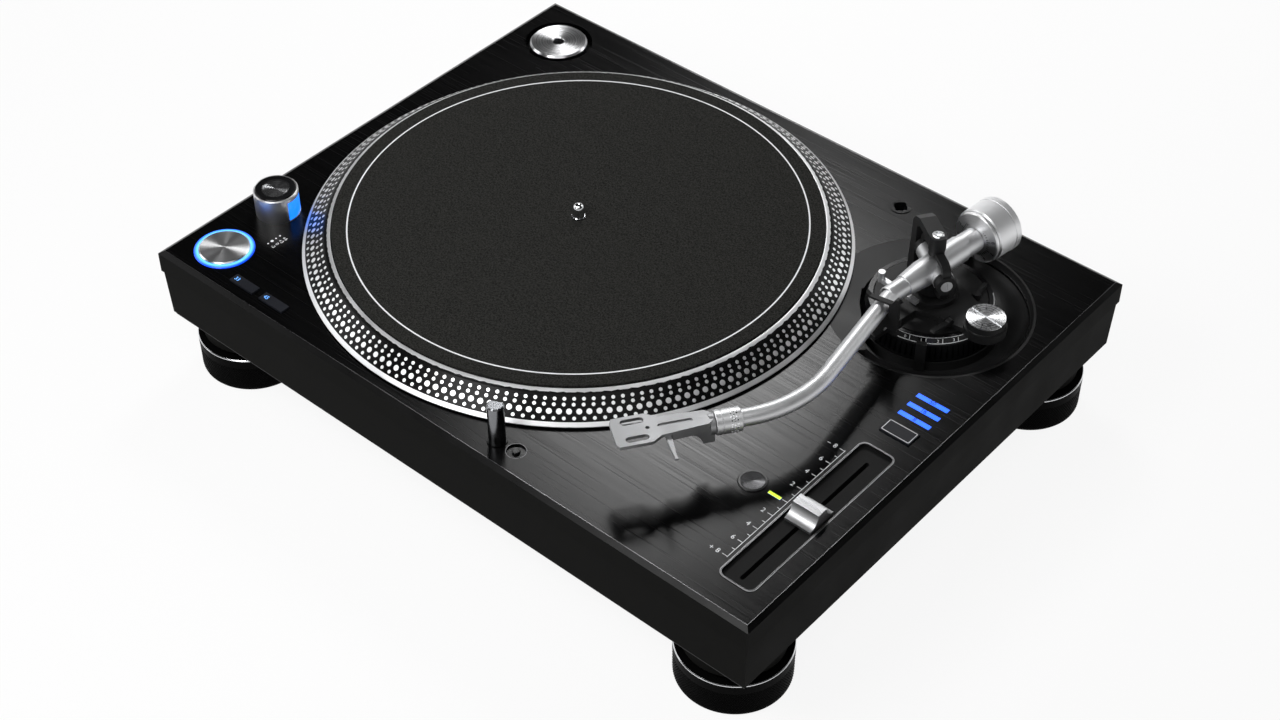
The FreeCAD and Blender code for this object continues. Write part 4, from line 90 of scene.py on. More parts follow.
class NodeKit:
    """Short calls for building one material's node tree."""

    def __init__(self, name: str) -> None:
        """Start an empty tree that holds one shader and its output.

        Args:
            name: the material's name.
        """
        self.material = bpy.data.materials.new(name)
        self.material.use_nodes = True
        self.tree = self.material.node_tree
        self.shader = self.tree.nodes["Principled BSDF"]

    def add(self, kind: str, **settings: object) -> bpy.types.Node:
        """Add a node and set its properties and unlinked inputs.

        Args:
            kind: the node's type name, without its common prefix.
            settings: properties by name, and inputs by name with spaces as underscores.

        Returns:
            The new node.
        """
        node = self.tree.nodes.new(f"ShaderNode{kind}")
        for key, value in settings.items():
            if hasattr(node, key):
                setattr(node, key, value)
            else:
                node.inputs[key.replace("_", " ")].default_value = value
        return node

    def link(self, source: Socket, target: Socket) -> None:
        """Join an output to an input."""
        self.tree.links.new(source, target)

    def solve(self, kind: str, operation: str, *inputs: object) -> Socket:
        """Add a maths node.

        Args:
            kind: Math or VectorMath.
            operation: what it works out.
            inputs: its inputs in order: a socket to link, or a value to set.

        Returns:
            Its result.
        """
        node = self.add(kind, operation=operation)
        for socket, value in zip(node.inputs, inputs):
            if isinstance(value, Socket):
                self.link(value, socket)
            else:
                socket.default_value = value
        number = kind == "Math" or operation in ("LENGTH", "DISTANCE")
        return node.outputs["Value" if number else "Vector"]

    def where(self) -> Socket:
        """Give the surface's own place, in metres."""
        return self.add("TexCoord").outputs["Object"]

    def place(self, scale: Triple = (1, 1, 1)) -> Socket:
        """Give the surface's own place, stretched.

        Args:
            scale: how much each axis is multiplied by.

        Returns:
            A vector socket.
        """
        stretch = self.add("Mapping", Scale=scale)
        self.link(self.where(), stretch.inputs["Vector"])
        return stretch.outputs["Vector"]

    def noise(self, vector: Socket, scale: float, detail: float = 4.0) -> Socket:
        """Give a noise value over a vector.

        Args:
            vector: where to read the noise.
            scale: features per metre.
            detail: number of octaves.

        Returns:
            A value socket from 0 to 1.
        """
        texture = self.add("TexNoise", Scale=scale, Detail=detail)
        self.link(vector, texture.inputs["Vector"])
        return texture.outputs["Fac"]

    def spread(self, value: Socket, low: float, high: float) -> Socket:
        """Map the middle of a noise to a range.

        Args:
            value: a value socket.
            low: what 0.3 becomes.
            high: what 0.7 becomes.

        Returns:
            A value socket.
        """
        ramp = self.add("MapRange", From_Min=0.3, From_Max=0.7, To_Min=low, To_Max=high)
        self.link(value, ramp.inputs["Value"])
        return ramp.outputs["Result"]

    def roughen(self, value: Socket, low: float, high: float) -> None:
        """Drive the shader's roughness by a noise."""
        self.link(self.spread(value, low, high), self.shader.inputs["Roughness"])

    def tint(self, value: Socket, dark: Triple, light: Triple) -> None:
        """Mix the shader's colour between two by a noise."""
        self.link(self.ramp(value, (0.3, dark), (0.7, light)), self.shader.inputs["Base Color"])

    def ramp(self, value: Socket, *stops: tuple[float, Triple]) -> Socket:
        """Turn a value into a colour between two stops, each a value and its colour."""
        node = self.add("ValToRGB")
        for stop, (position, colour) in zip(node.color_ramp.elements, stops):
            stop.position = position
            stop.color = (*colour, 1)
        self.link(value, node.inputs["Fac"])
        return node.outputs["Color"]

    def bump(self, value: Socket, depth: float, strength: float = 1.0) -> None:
        """Raise the surface by a noise, in metres."""
        node = self.add("Bump", Distance=depth, Strength=strength)
        self.link(value, node.inputs["Height"])
        self.link(node.outputs["Normal"], self.shader.inputs["Normal"])

    def set(self, **values: object) -> None:
        """Set the shader's own sockets."""
        for key, value in values.items():
            self.shader.inputs[key.replace("_", " ")].default_value = value


def shade(colour: Triple, factor: float) -> Triple:
    """Make a colour lighter or darker."""
    return tuple(min(1.0, part * factor) for part in colour)


@dataclass(frozen=True)
class Finish:
    """A surface finish, which lays out one material's nodes."""

    name: str
    colour: Triple

    def build(self) -> Material:
        """Build the material."""
        kit = NodeKit(self.name)
        self.paint(kit)
        return kit.material

    def paint(self, kit: NodeKit) -> None:
        """Lay out the finish's own nodes."""


@dataclass(frozen=True)
class Moulded(Finish):
    """Moulded or painted dark surface with a fine grain."""

    roughness: float = 0.45
    grain: float = 1800.0
    depth: float = 0.00003
    specular: float = 0.4

    def paint(self, kit: NodeKit) -> None:
        """Lay out the nodes."""
        place = kit.place()
        fine = kit.noise(place, self.grain)
        cloud = kit.noise(place, 35)
        kit.tint(cloud, shade(self.colour, 0.85), shade(self.colour, 1.2))
        kit.roughen(cloud, self.roughness - 0.06, self.roughness + 0.06)
        kit.bump(fine, self.depth, 0.5)
        kit.set(Specular_IOR_Level=self.specular)


@dataclass(frozen=True)
class Brushed(Finish):
    """Metal or painted metal brushed along one axis."""

    metallic: float = 1.0
    roughness: float = 0.3
    along: Axis = Axis.X
    depth: float = 0.00002
    specular: float = 0.5
    anisotropy: float = 0.0

    def paint(self, kit: NodeKit) -> None:
        """Lay out the nodes."""
        fine, slow = 2400, 26
        long_way = {Axis.X: (slow, fine, fine), Axis.Y: (fine, slow, fine), Axis.Z: (fine, fine, slow)}[self.along]
        lines = kit.noise(kit.place(long_way), 1.0, 3)
        broad = kit.noise(kit.place(tuple(part / 2.5 for part in long_way)), 1.0, 2)
        kit.tint(lines, shade(self.colour, 0.86), shade(self.colour, 1.16))
        kit.roughen(broad, self.roughness - 0.045, self.roughness + 0.06)
        kit.bump(lines, self.depth, 0.35)
        kit.set(Metallic=self.metallic, Specular_IOR_Level=self.specular)
        if self.anisotropy:
            kit.set(Anisotropic=self.anisotropy)
            side = {Axis.X: Axis.Y, Axis.Y: Axis.X, Axis.Z: Axis.X}[self.along]
            across = kit.add("CombineXYZ", **dict(zip("XYZ", side.value)))
            kit.link(across.outputs["Vector"], kit.shader.inputs["Tangent"])


@dataclass(frozen=True)
class Spun(Finish):
    """Metal turned on a lathe: fine rings about an axis, and fans of light across them."""

    centre: Triple
    axis: Triple = Axis.Z.value
    metallic: float = 1.0
    roughness: float = 0.28
    pitch: float = 2600.0
    depth: float = 0.00002
    anisotropy: float = 0.75
    specular: float = 0.5
    dishing: float = 0.0

    def paint(self, kit: NodeKit) -> None:
        """Lay out the nodes."""
        offset = kit.solve("VectorMath", "SUBTRACT", kit.where(), self.centre)
        swirl = kit.solve("VectorMath", "CROSS_PRODUCT", self.axis, offset)
        reach = kit.solve("VectorMath", "LENGTH", swirl)
        spread = kit.add("CombineXYZ")
        kit.link(reach, spread.inputs["X"])
        rings = kit.noise(spread.outputs["Vector"], self.pitch, 2)
        kit.tint(rings, shade(self.colour, 0.88), shade(self.colour, 1.12))
        kit.roughen(rings, self.roughness - 0.05, self.roughness + 0.06)
        if self.dishing:
            raised = kit.solve("Math", "MULTIPLY", rings, self.depth * 0.35)
            kit.bump(kit.solve("Math", "MULTIPLY_ADD", reach, self.dishing, raised), 1.0)
        else:
            kit.bump(rings, self.depth, 0.35)
        outward = kit.solve("VectorMath", "CROSS_PRODUCT", swirl, self.axis)
        kit.link(kit.solve("VectorMath", "NORMALIZE", outward), kit.shader.inputs["Tangent"])
        kit.set(Metallic=self.metallic, Anisotropic=self.anisotropy, Specular_IOR_Level=self.specular)


@dataclass(frozen=True)
class Felt(Finish):
    """Pressed felt with short fibres lying every way."""

    def paint(self, kit: NodeKit) -> None:
        """Lay out the nodes."""
        fibre = kit.noise(kit.place((1, 2.2, 1)), 900, 6)
        cross = kit.noise(kit.place((2.6, 1, 1)), 700, 6)
        both = kit.solve("Math", "MULTIPLY", fibre, cross)
        tuft = kit.add("MapRange", From_Min=0.17, From_Max=0.33, To_Min=0.3, To_Max=0.7)
        kit.link(both, tuft.inputs["Value"])
        kit.tint(tuft.outputs["Result"], shade(self.colour, 0.45), shade(self.colour, 1.9))
        kit.bump(tuft.outputs["Result"], 0.0004, 0.8)
        kit.set(Roughness=0.8, Specular_IOR_Level=0.06, Sheen_Weight=0.02, Sheen_Roughness=0.5)


@dataclass(frozen=True)
class Glow(Finish):
    """A clear part that is lit from behind."""

    strength: float = 3.0

    def paint(self, kit: NodeKit) -> None:
        """Lay out the nodes."""
        cloud = kit.noise(kit.place(), 120)
        kit.tint(cloud, shade(self.colour, 0.85), self.colour)
        kit.set(Roughness=0.3, Emission_Color=(*self.colour, 1), Emission_Strength=self.strength)


@dataclass(frozen=True)
class Halo(Finish):
    """A clear ring lit from behind: bright near its inner edge and dim at its outer one."""

    centre: Triple
    inner: float
    outer: float
    dim: Triple
    strength: float = 1.6

    def paint(self, kit: NodeKit) -> None:
        """Lay out the nodes."""
        reach = kit.solve("VectorMath", "DISTANCE", kit.where(), self.centre)
        share = kit.add("MapRange", From_Min=self.inner, From_Max=self.outer)
        kit.link(reach, share.inputs["Value"])
        light = kit.ramp(share.outputs["Result"], (0.15, self.colour), (0.9, self.dim))
        kit.link(light, kit.shader.inputs["Emission Color"])
        kit.link(light, kit.shader.inputs["Base Color"])
        kit.set(Roughness=0.3, Emission_Strength=self.strength)


@dataclass(frozen=True)
class Polished(Finish):
    """Plated or polished metal with faint smears."""

    roughness: float = 0.12

    def paint(self, kit: NodeKit) -> None:
        """Lay out the nodes."""
        smear = kit.noise(kit.place((1, 1, 3)), 90)
        kit.tint(smear, shade(self.colour, 0.95), shade(self.colour, 1.04))
        kit.roughen(smear, self.roughness - 0.04, self.roughness + 0.05)
        kit.set(Metallic=1.0)


@dataclass(frozen=True)
class Satin(Finish):
    """Bead-blasted or satin-plated metal."""

    roughness: float = 0.34

    def paint(self, kit: NodeKit) -> None:
        """Lay out the nodes."""
        place = kit.place()
        grit = kit.noise(place, 4200, 3)
        cloud = kit.noise(place, 60)
        kit.tint(cloud, shade(self.colour, 0.95), shade(self.colour, 1.05))
        kit.roughen(cloud, self.roughness - 0.04, self.roughness + 0.05)
        kit.bump(grit, 0.000012, 0.4)
        kit.set(Metallic=1.0)


@dataclass(frozen=True)
class Ink(Finish):
    """Printed or filled marks."""

    def paint(self, kit: NodeKit) -> None:
        """Lay out the nodes."""
        wear = kit.noise(kit.place(), 1500)
        kit.tint(wear, shade(self.colour, 0.88), self.colour)
        kit.set(Roughness=0.5, Specular_IOR_Level=0.3)


def centre_of(node: str) -> Vector:
    """The middle of a node's box."""
    low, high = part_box(node)
    return (low + high) / 2


def joint_of(name: str) -> dict:
    """A joint's own entry in the record."""
    return next(joint for joint in frame["joints"] if joint["name"] == name)


def dress(material: Material, *nodes: str) -> None:
    """Give CAD nodes a finish."""
    for name in nodes:
        slots = frame["nodes"][name].data.materials
        if len(slots) == 0:
            slots.append(material)
        for index in range(len(slots)):
            slots[index] = material


def axes(origin: Vector, along: Vector, normal: Vector) -> Matrix:
    """A frame with X along a line and Z on a normal.

    Args:
        origin: the frame's origin.
        along: the direction of X.
        normal: about the direction of Z.

    Returns:
        The frame as a matrix.
    """
    x = along.normalized()
    y = normal.cross(x).normalized()
    z = x.cross(y)
    return Matrix.Translation(origin) @ Matrix((x, y, z)).transposed().to_4x4()


@dataclass
class Piece:
    """One mesh in the making, which ends as an object that rides on a body."""

    name: str
    mesh: bmesh.types.BMesh = field(default_factory=bmesh.new)

    def bar(self, place: Matrix, size: Triple) -> None:
        """Add a small bar.

        Args:
            place: the frame at the middle of the bar's foot.
            size: length, width and height.
        """
        made = bmesh.ops.create_cube(self.mesh, size=1)["verts"]
        shape = place @ Matrix.Translation((0, 0, size[2] / 2)) @ Matrix.Diagonal((*size, 1))
        bmesh.ops.transform(self.mesh, matrix=shape, verts=made)

    def row(self, place: Matrix, points: Iterable[Triple]) -> list[bmesh.types.BMVert]:
        """Add points, and give them in order."""
        return [self.mesh.verts.new(place @ Vector(point)) for point in points]

    def skin(self, rows: list[list[bmesh.types.BMVert]], looped: bool = True) -> None:
        """Join rows of points with faces, each row being a closed loop.

        Args:
            rows: the rows, with the same number of points.
            looped: whether the last row joins the first.
        """
        size = len(rows[0])
        for index in range(len(rows) if looped else len(rows) - 1):
            here, after = rows[index], rows[(index + 1) % len(rows)]
            for side in range(size):
                other = (side + 1) % size
                self.mesh.faces.new((here[side], after[side], after[other], here[other]))

    def cap(self, place: Matrix, rings: Profile, sides: int, tip: float | None = None) -> None:
        """Add a low turned cap.

        Args:
            place: the frame at the middle of its foot.
            rings: radius and height of each ring, from the foot up.
            sides: number of sides.
            tip: the height of its point, or None where it is flat on top.
        """
        turns = [ROUND * step / sides for step in range(sides)]
        rows = [self.row(place, [(reach * math.cos(angle), reach * math.sin(angle), lift) for angle in turns])
                for reach, lift in rings]
        self.skin(rows, looped=False)
        if tip is None:
            self.mesh.faces.new(rows[-1])
            return
        top = self.mesh.verts.new(place @ Vector((0, 0, tip)))
        for step in range(sides):
            self.mesh.faces.new((rows[-1][step], rows[-1][(step + 1) % sides], top))

    def dome(self, place: Matrix, radius: float, height: float, sides: int) -> None:
        """Add a low dome of a radius and a height."""
        self.cap(place, [(radius, 0.0), (radius * 0.8, height * 0.7)], sides, height)

    def rim(self, half: Vector, profile: Profile) -> None:
        """Run a closed profile round a rectangle about the origin, with mitred corners.

        Args:
            half: half the rectangle's length and width.
            profile: how far outside the rectangle each point is, and its height.
        """
        self.skin([self.row(shift(), [(sx * (half.x + out), sy * (half.y + out), z) for out, z in profile])
                   for sx, sy in CORNERS])

    def lathe(self, place: Matrix, profile: Profile, steps: int = 96, start: float = 0.0,
              sweep: float = ROUND) -> None:
        """Turn a closed profile about the frame's Z.

        Args:
            place: the frame.
            profile: radius and height of each point.
            steps: number of steps round.
            start: the first angle.
            sweep: how far round it goes.
        """
        full = sweep >= ROUND
        points = [(radius, 0, height) for radius, height in profile]
        turns = [start + sweep * step / steps for step in range(steps if full else steps + 1)]
        rows = [self.row(place @ turn(angle), points) for angle in turns]
        self.skin(rows, full)
        if not full:
            self.mesh.faces.new(rows[0])
            self.mesh.faces.new(reversed(rows[-1]))

    def word(self, text: str, place: Matrix, size: float, height: float = 0.00006) -> None:
        """Add raised figures, centred on the frame's origin.

        Args:
            text: what to write: only figures and signs.
            place: the frame, with X along the line of writing.
            size: the height of the letters' box.
            height: how far they stand up.
        """
        curve = bpy.data.curves.new("figures", "FONT")
        curve.body = text
        curve.size = size
        curve.align_x = "CENTER"
        curve.align_y = "CENTER"
        curve.extrude = height
        curve.resolution_u = 3
        holder = bpy.data.objects.new("figures", curve)
        bpy.context.scene.collection.objects.link(holder)
        bpy.context.view_layer.update()
        made = bpy.data.meshes.new_from_object(holder)
        made.transform(place)
        self.mesh.from_mesh(made)
        bpy.data.objects.remove(holder)
        bpy.data.meshes.remove(made)
        bpy.data.curves.remove(curve)

    def finish(self, body: str, material: Material, smooth: bool = False) -> bpy.types.Object:
        """Make the object and let it ride on a body.

        Args:
            body: the CAD body it moves with.
            material: its finish.
            smooth: whether its faces are shaded smooth.

        Returns:
            The new object.
        """
        bmesh.ops.recalc_face_normals(self.mesh, faces=self.mesh.faces)
        data = bpy.data.meshes.new(self.name)
        self.mesh.to_mesh(data)
        self.mesh.free()
        data.materials.append(material)
        if smooth:
            data.shade_smooth()
            data.set_sharp_from_angle(angle=math.radians(35))
        piece = bpy.data.objects.new(self.name, data)
        bpy.context.scene.collection.objects.link(piece)
        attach(piece, body)
        LOG.info("%s rides on %s", self.name, body)
        return piece


class Paints:
    """Every finish that more than one sub-assembly uses."""

    def __init__(self) -> None:
        """Build the finishes."""
        self.white = Ink("white_marks", (0.9, 0.91, 0.93)).build()
        self.black = Moulded("satin_black", (0.010, 0.010, 0.0105), 0.42, specular=0.3).build()
        self.gloss = Moulded("gloss_black", (0.004, 0.004, 0.0045), 0.24, 900, 0.00001, 0.3).build()
        self.plain = Moulded("moulded_black", (0.011, 0.011, 0.0112), 0.46, 2200, specular=0.22).build()
        self.dark = Moulded("dark_hole", (0.001, 0.001, 0.001), 0.6, specular=0.05).build()
        self.silver = Satin("satin_silver", (0.74, 0.745, 0.755), 0.44).build()
        self.chrome = Polished("polished_plate", (0.78, 0.79, 0.8)).build()
        # Also laid round the feet's top edges as a painted highlight.
        self.bright = Polished("bright_edge", (0.85, 0.86, 0.88), 0.2).build()


@dataclass
class Cabinet:
    """The deck with its edges, the lower body and the feet."""

    paints: Paints
    top: float = 87.4 * MM
    lip_low: float = 71.9 * MM
    bevel_low: float = 85.5 * MM
    bevel: float = 3.0 * MM
    coat: float = 0.025 * MM
    line_width: float = 0.35 * MM
    foot_radius: float = 33.3 * MM
    foot_height: float = 25.0 * MM
    knurl_low: float = 1.6 * MM
    knurl_high: float = 17.6 * MM
    knurl_rows: int = 14
    knurl_round: int = 132
    knurl_depth: float = 0.5 * MM
    foot_bore: float = 12.05 * MM
    foot_recess: tuple[float, float] = (27.0 * MM, 6.0 * MM)
    body: str = "cabinet"

    def build(self) -> None:
        """Dress the cabinet."""
        deck = Brushed("brushed_deck", (0.0008, 0.0008, 0.0009), 0.0, 0.23, Axis.X, 0.000016, 0.2, 0.4)
        dress(deck.build(), "top_plate")
        coat = Moulded("moulded_body", (0.0075, 0.0075, 0.0071), 0.5, 1500, specular=0.01).build()
        dress(coat, "base_body")
        dress(self.paints.black, "bottom_plate")
        dress(self.paints.silver, "bottom_screws", "foot_1_stud", "foot_2_stud", "foot_3_stud", "foot_4_stud")
        self.lip_coat(coat)
        foot = Moulded("foot_black", (0.0025, 0.0025, 0.0025), 0.42, 1400, specular=0.015).build()
        for index in range(1, 5):
            self.foot(index, foot)

    def lip_coat(self, coat: Material) -> None:
        """The duller coat on the deck's upright sides, its smooth bevel, and a painted highlight line where that
        starts.

        Args:
            coat: the finish of the upright sides.
        """
        low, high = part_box("top_plate")
        half = (high - low) / 2
        thin = self.coat
        sides = Piece("deck_lip_coat")
        sides.rim(half, hoop(-thin, thin, self.lip_low, self.bevel_low))
        sides.finish(self.body, coat)
        slope = Piece("deck_bevel_coat")
        slope.rim(half, [(thin, self.bevel_low), (-self.bevel, self.top + thin), (-self.bevel, self.top - thin),
                         (-thin, self.bevel_low - thin)])
        bevel = Moulded("bevel_black", (0.003, 0.003, 0.003), 0.3, 1800, 0.00001, 0.1).build()
        slope.finish(self.body, bevel)
        # A thin grey metal strip along the bevel's upper edge: a painted highlight where the edge catches the light.
        line = Piece("deck_highlight_line")
        inner = self.bevel + self.line_width
        line.rim(half, [(-self.bevel, self.top - thin), (-self.bevel, self.top + 2 * thin),
                        (-inner, self.top + 2 * thin), (-inner, self.top - thin)])
        line.finish(self.body, Satin("deck_highlight_grey", (0.16, 0.16, 0.165), 0.3).build())

    def foot(self, index: int, material: Material) -> None:
        """One foot's shell: a turned shell with a band of small points, and a painted highlight round its top edge.

        Args:
            index: which foot, from 1 to 4.
            material: the shell's finish.
        """
        node, body = f"foot_{index}_shell", f"foot_{index}_shell_body"
        centre = centre_of(node)
        place = shift(centre.x, centre.y)
        radius, height, soft = self.foot_radius, self.foot_height, self.knurl_depth
        root = radius - soft
        mouth, floor = self.foot_recess[0], height - self.foot_recess[1]
        shell = Piece(node + "_turned")
        shell.lathe(place, [
            (self.foot_bore, 0), (radius - 1.2 * MM, 0), (root, 0.9 * MM), (root, self.knurl_high),
            (radius, self.knurl_high + soft), (radius, height - soft), (root, height),
            (mouth, height), (mouth, floor), (self.foot_bore, floor),
        ], 128)
        pitch = (self.knurl_high - self.knurl_low) / self.knurl_rows
        wide = math.pi * root / self.knurl_round
        for row in range(self.knurl_rows):
            level = self.knurl_low + pitch * (row + 0.5)
            for step in range(self.knurl_round):
                spot = place @ turn(ROUND * (step + row % 2 / 2) / self.knurl_round)
                corners = shell.row(spot, [(root, wide, level), (root, 0, level + pitch), (root, -wide, level),
                                           (root, 0, level - pitch)])
                tip = shell.mesh.verts.new(spot @ Vector((radius - 0.02 * MM, 0, level)))
                for side in range(4):
                    shell.mesh.faces.new((corners[side], corners[(side + 1) % 4], tip))
        made = shell.finish(body, material)
        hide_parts(node)
        # A polished ring on the black foot's top chamfer: a painted highlight where the edge catches the light.
        edge = Piece(f"foot_{index}_edge")
        proud = radius + 0.05 * MM
        edge.lathe(shift(centre.x, centre.y, height), [(proud, -0.9 * MM), (proud, -0.45 * MM),
                                                       (radius - 0.4 * MM, 0.0), (radius - 0.7 * MM, -0.3 * MM)])
        edge.finish(body, self.paints.bright, True)


@dataclass
class Platter:
    """The platter's rim with its rows of dots, and the felt mat on it."""

    paints: Paints
    dots_round: int = 180
    dot_rise: float = 0.1
    low: tuple[float, float] = (164.0 * MM, 91.0 * MM)
    high: tuple[float, float] = (152.0 * MM, 100.5 * MM)
    rows: tuple[Triple, ...] = (
        (0.14, 1.1, 0.5), (0.39, 1.7, 0.0), (0.64, 1.1, 0.45), (0.85, 1.1, 0.5)
    )
    band_inner: float = 148.25 * MM
    band_outer: float = 149.0 * MM
    line_radius: float = 138.2 * MM
    line_width: float = 0.9 * MM

    def build(self) -> None:
        """Dress the platter, mat and spindle."""
        middle = centre_of("platter")
        centre = (middle.x, middle.y, 0)
        rim = Spun("platter_rim", (0.003, 0.003, 0.003), centre, metallic=0.0, roughness=0.3, specular=0.12)
        dress(rim.build(), "platter")
        dress(Felt("black_felt", (0.0165, 0.0165, 0.015)).build(), "slipmat")
        dress(self.paints.chrome, "spindle")
        dress(Moulded("magnet_grey", (0.03, 0.03, 0.03)).build(), "rotor_magnet")
        dress(Moulded("coil_board", (0.03, 0.1, 0.045)).build(), "motor_stator", "control_board")
        dress(Polished("brass", (0.7, 0.52, 0.25), 0.25).build(), "spindle_bearing")
        self.dots(middle)
        self.bands(middle)
        self.mat_line(middle)

    def dots(self, middle: Vector) -> None:
        """Four rows of bright dots on the cone, the second row from outside the largest."""
        piece = Piece("platter_dots")
        slope = Vector((self.high[0] - self.low[0], 0, self.high[1] - self.low[1]))
        tilt = math.atan2(slope.x, slope.z)
        for share, radius, offset in self.rows:
            reach = self.low[0] + slope.x * share
            height = self.low[1] + slope.z * share
            for step in range(self.dots_round):
                turned = shift(middle.x, middle.y) @ turn(ROUND * (step + offset) / self.dots_round)
                place = turned @ shift(reach, 0, height) @ turn(math.pi / 2 + tilt, "Y")
                piece.cap(place, [(radius * MM, 0.0), ((radius - self.dot_rise) * MM, self.dot_rise * MM)], 12)
        piece.finish("platter_body", Satin("dot_silver", (0.82, 0.825, 0.835), 0.4).build())

    def bands(self, middle: Vector) -> None:
        """The two bright turned bands, above and below the dots."""
        spun = Satin("turned_band", (0.84, 0.845, 0.855), 0.48).build()
        place = shift(middle.x, middle.y)
        low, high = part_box("platter")
        rim = (high.x - low.x) / 2
        lift = 0.06 * MM
        (foot, foot_height), (top, top_height) = self.low, self.high
        lower = Piece("lower_band")
        lower.lathe(place, [(rim + lift, low.z + 0.2 * MM), (rim + lift, low.z + 0.7 * MM),
                            (foot + lift, foot_height + lift), (foot - 0.3 * MM, foot_height - 0.3 * MM),
                            (rim - 0.5 * MM, low.z + 0.3 * MM)], 192)
        lower.finish("platter_body", spun, True)
        upper = Piece("upper_band")
        upper.lathe(place, [(top + lift, top_height - 0.1 * MM), (self.band_outer, high.z + lift),
                            (self.band_inner, high.z + lift), (self.band_inner, high.z - 0.4 * MM),
                            (top - 0.5 * MM, top_height - 0.5 * MM)], 192)
        upper.finish("platter_body", spun, True)

    def mat_line(self, middle: Vector) -> None:
        """The pale line printed round the mat."""
        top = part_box("slipmat")[1].z
        piece = Piece("mat_line")
        inner, outer = self.line_radius - self.line_width / 2, self.line_radius + self.line_width / 2
        rise = 0.05 * MM
        piece.lathe(shift(middle.x, middle.y, top), hoop(inner, outer, -rise, rise), 192)
        piece.finish("slipmat_body", self.paints.white)


@dataclass
class Controls:
    """Buttons, tower, lights and the tempo fader."""

    paints: Paints
    blue: Triple = (0.008, 0.11, 1.0)
    green: Triple = (0.55, 0.8, 0.05)
    deck_top: float = 87.4 * MM
    print_rise: float = 0.05 * MM

    def build(self) -> None:
        """Dress the controls."""
        dress(Glow("lit_blue", self.blue, 1.5).build(), "deck_lights")
        middle = centre_of("start_light_ring")
        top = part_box("start_light_ring")[1].z
        halo = Halo("start_halo", (0.12, 0.48, 1.0), (middle.x, middle.y, top), 15.75 * MM, 18.3 * MM,
                    (0.0, 0.05, 0.75), 1.25)
        dress(halo.build(), "start_light_ring")
        dress(Glow("tower_window_blue", (0.01, 0.2, 1.0), 1.3).build(), "strobe_window")
        for node, tone, rough in (("start_button", 0.72, 0.32), ("adapter", 0.62, 0.28)):
            spun = Spun(f"spun_{node}", (tone, tone + 0.005, tone + 0.015), tuple(centre_of(node)), roughness=rough,
                        anisotropy=0.85)
            dress(spun.build(), node)
        middle = centre_of("strobe_tower")
        dress(Spun("tower_silver", (0.72, 0.72, 0.725), (middle.x, middle.y, 0), roughness=0.4).build(),
              "strobe_tower")
        dress(self.paints.gloss, "power_dial", "reset_button", "light_button")
        keys = Moulded("key_black", (0.010, 0.011, 0.015), 0.4, 1600, 0.00001, 0.15).build()
        dress(keys, "speed_key_left", "speed_key_right", "range_button")
        dress(Moulded("tray_black", (0.010, 0.010, 0.010), 0.5, 2600, specular=0.08).build(), "fader_tray")
        dress(Brushed("silver_knob", (0.44, 0.444, 0.452), 1.0, 0.42, Axis.X).build(), "tempo_knob")
        dress(Polished("dark_plate", (0.2, 0.205, 0.215), 0.2).build(), "record_light")
        dress(self.paints.gloss, "headshell_socket")
        self.spun_face("power_dial", "power_dial_body",
                       [(0.05, -0.28), (8.2, -0.6), (8.2, -0.9), (0.05, -0.9)], ((0.5, 0.505, 0.52), 0.2, 0.1))
        self.spun_face("reset_button", "reset_button_body",
                       [(0.05, 0.06), (6.6, 0.04), (6.6, -0.2), (0.05, -0.2)], ((0.06, 0.06, 0.062), 0.2, 0.16))
        self.centre_light()
        self.key_figures()
        self.tempo_marks()
        self.tempo_line()
        self.range_marks()
        self.tray_highlight_lines()
        self.strobe_legend()
        self.light_button_highlight_ring()

    def frame_line(self, piece: Piece, place: Matrix, half: tuple[float, float], corner: float, width: float,
                   height: float) -> None:
        """Add a line round a rectangle with round corners.

        Args:
            piece: the mesh it is added to.
            place: the rectangle's middle.
            half: half its length and width.
            corner: its corners' radius.
            width: the line's width.
            height: how far the line stands up.
        """
        rows = []
        for number, (sx, sy) in enumerate(CORNERS):
            for step in range(7):
                angle = math.pi / 2 * (number + step / 6)
                x, y = sx * (half[0] - corner), sy * (half[1] - corner)
                rows.append(piece.row(place, [(x + reach * math.cos(angle), y + reach * math.sin(angle), lift)
                                              for reach, lift in hoop(corner - width, corner, 0, height)]))
        piece.skin(rows)

    def tray_highlight_lines(self) -> None:
        """The two painted highlight lines along the raised edges round the fader's tray."""
        low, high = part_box("fader_tray")
        middle = (low + high) / 2
        # Thin grey metal lines: painted highlights where the tray's raised rim catches the light.
        piece = Piece("fader_tray_highlights")
        half = ((high.x - low.x) / 2 - 1.6 * MM, (high.y - low.y) / 2 - 2.0 * MM)
        place = shift(middle.x, middle.y, high.z - 0.02 * MM)
        self.frame_line(piece, place, half, 5.0 * MM, 0.45 * MM, 0.06 * MM)
        inner = (half[0] - 0.75 * MM, half[1] - 0.75 * MM)
        self.frame_line(piece, place, inner, 4.25 * MM, 0.25 * MM, 0.05 * MM)
        piece.finish("cabinet", Satin("tray_highlight_grey", (0.2, 0.2, 0.205), 0.35).build())

    def range_marks(self) -> None:
        """The figures on the three range lights and the fine frame on the range button."""
        piece = Piece("range_figures")
        for index, text in enumerate(("8", "16", "50")):
            place = shift(201.0 * MM, (1.5 + 8.7 * index) * MM, self.deck_top)
            piece.word(text, place, 4.0 * MM, self.print_rise)
        piece.finish("cabinet", self.paints.dark)
        low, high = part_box("range_button")
        half = ((high.x - low.x) / 2 - 1.9 * MM, (high.y - low.y) / 2 - 1.9 * MM)
        line = Piece("range_button_frame")
        place = shift((low.x + high.x) / 2, (low.y + high.y) / 2, high.z)
        self.frame_line(line, place, half, 0.8 * MM, 0.35 * MM, self.print_rise)
        line.finish("range_button_body", self.paints.white)

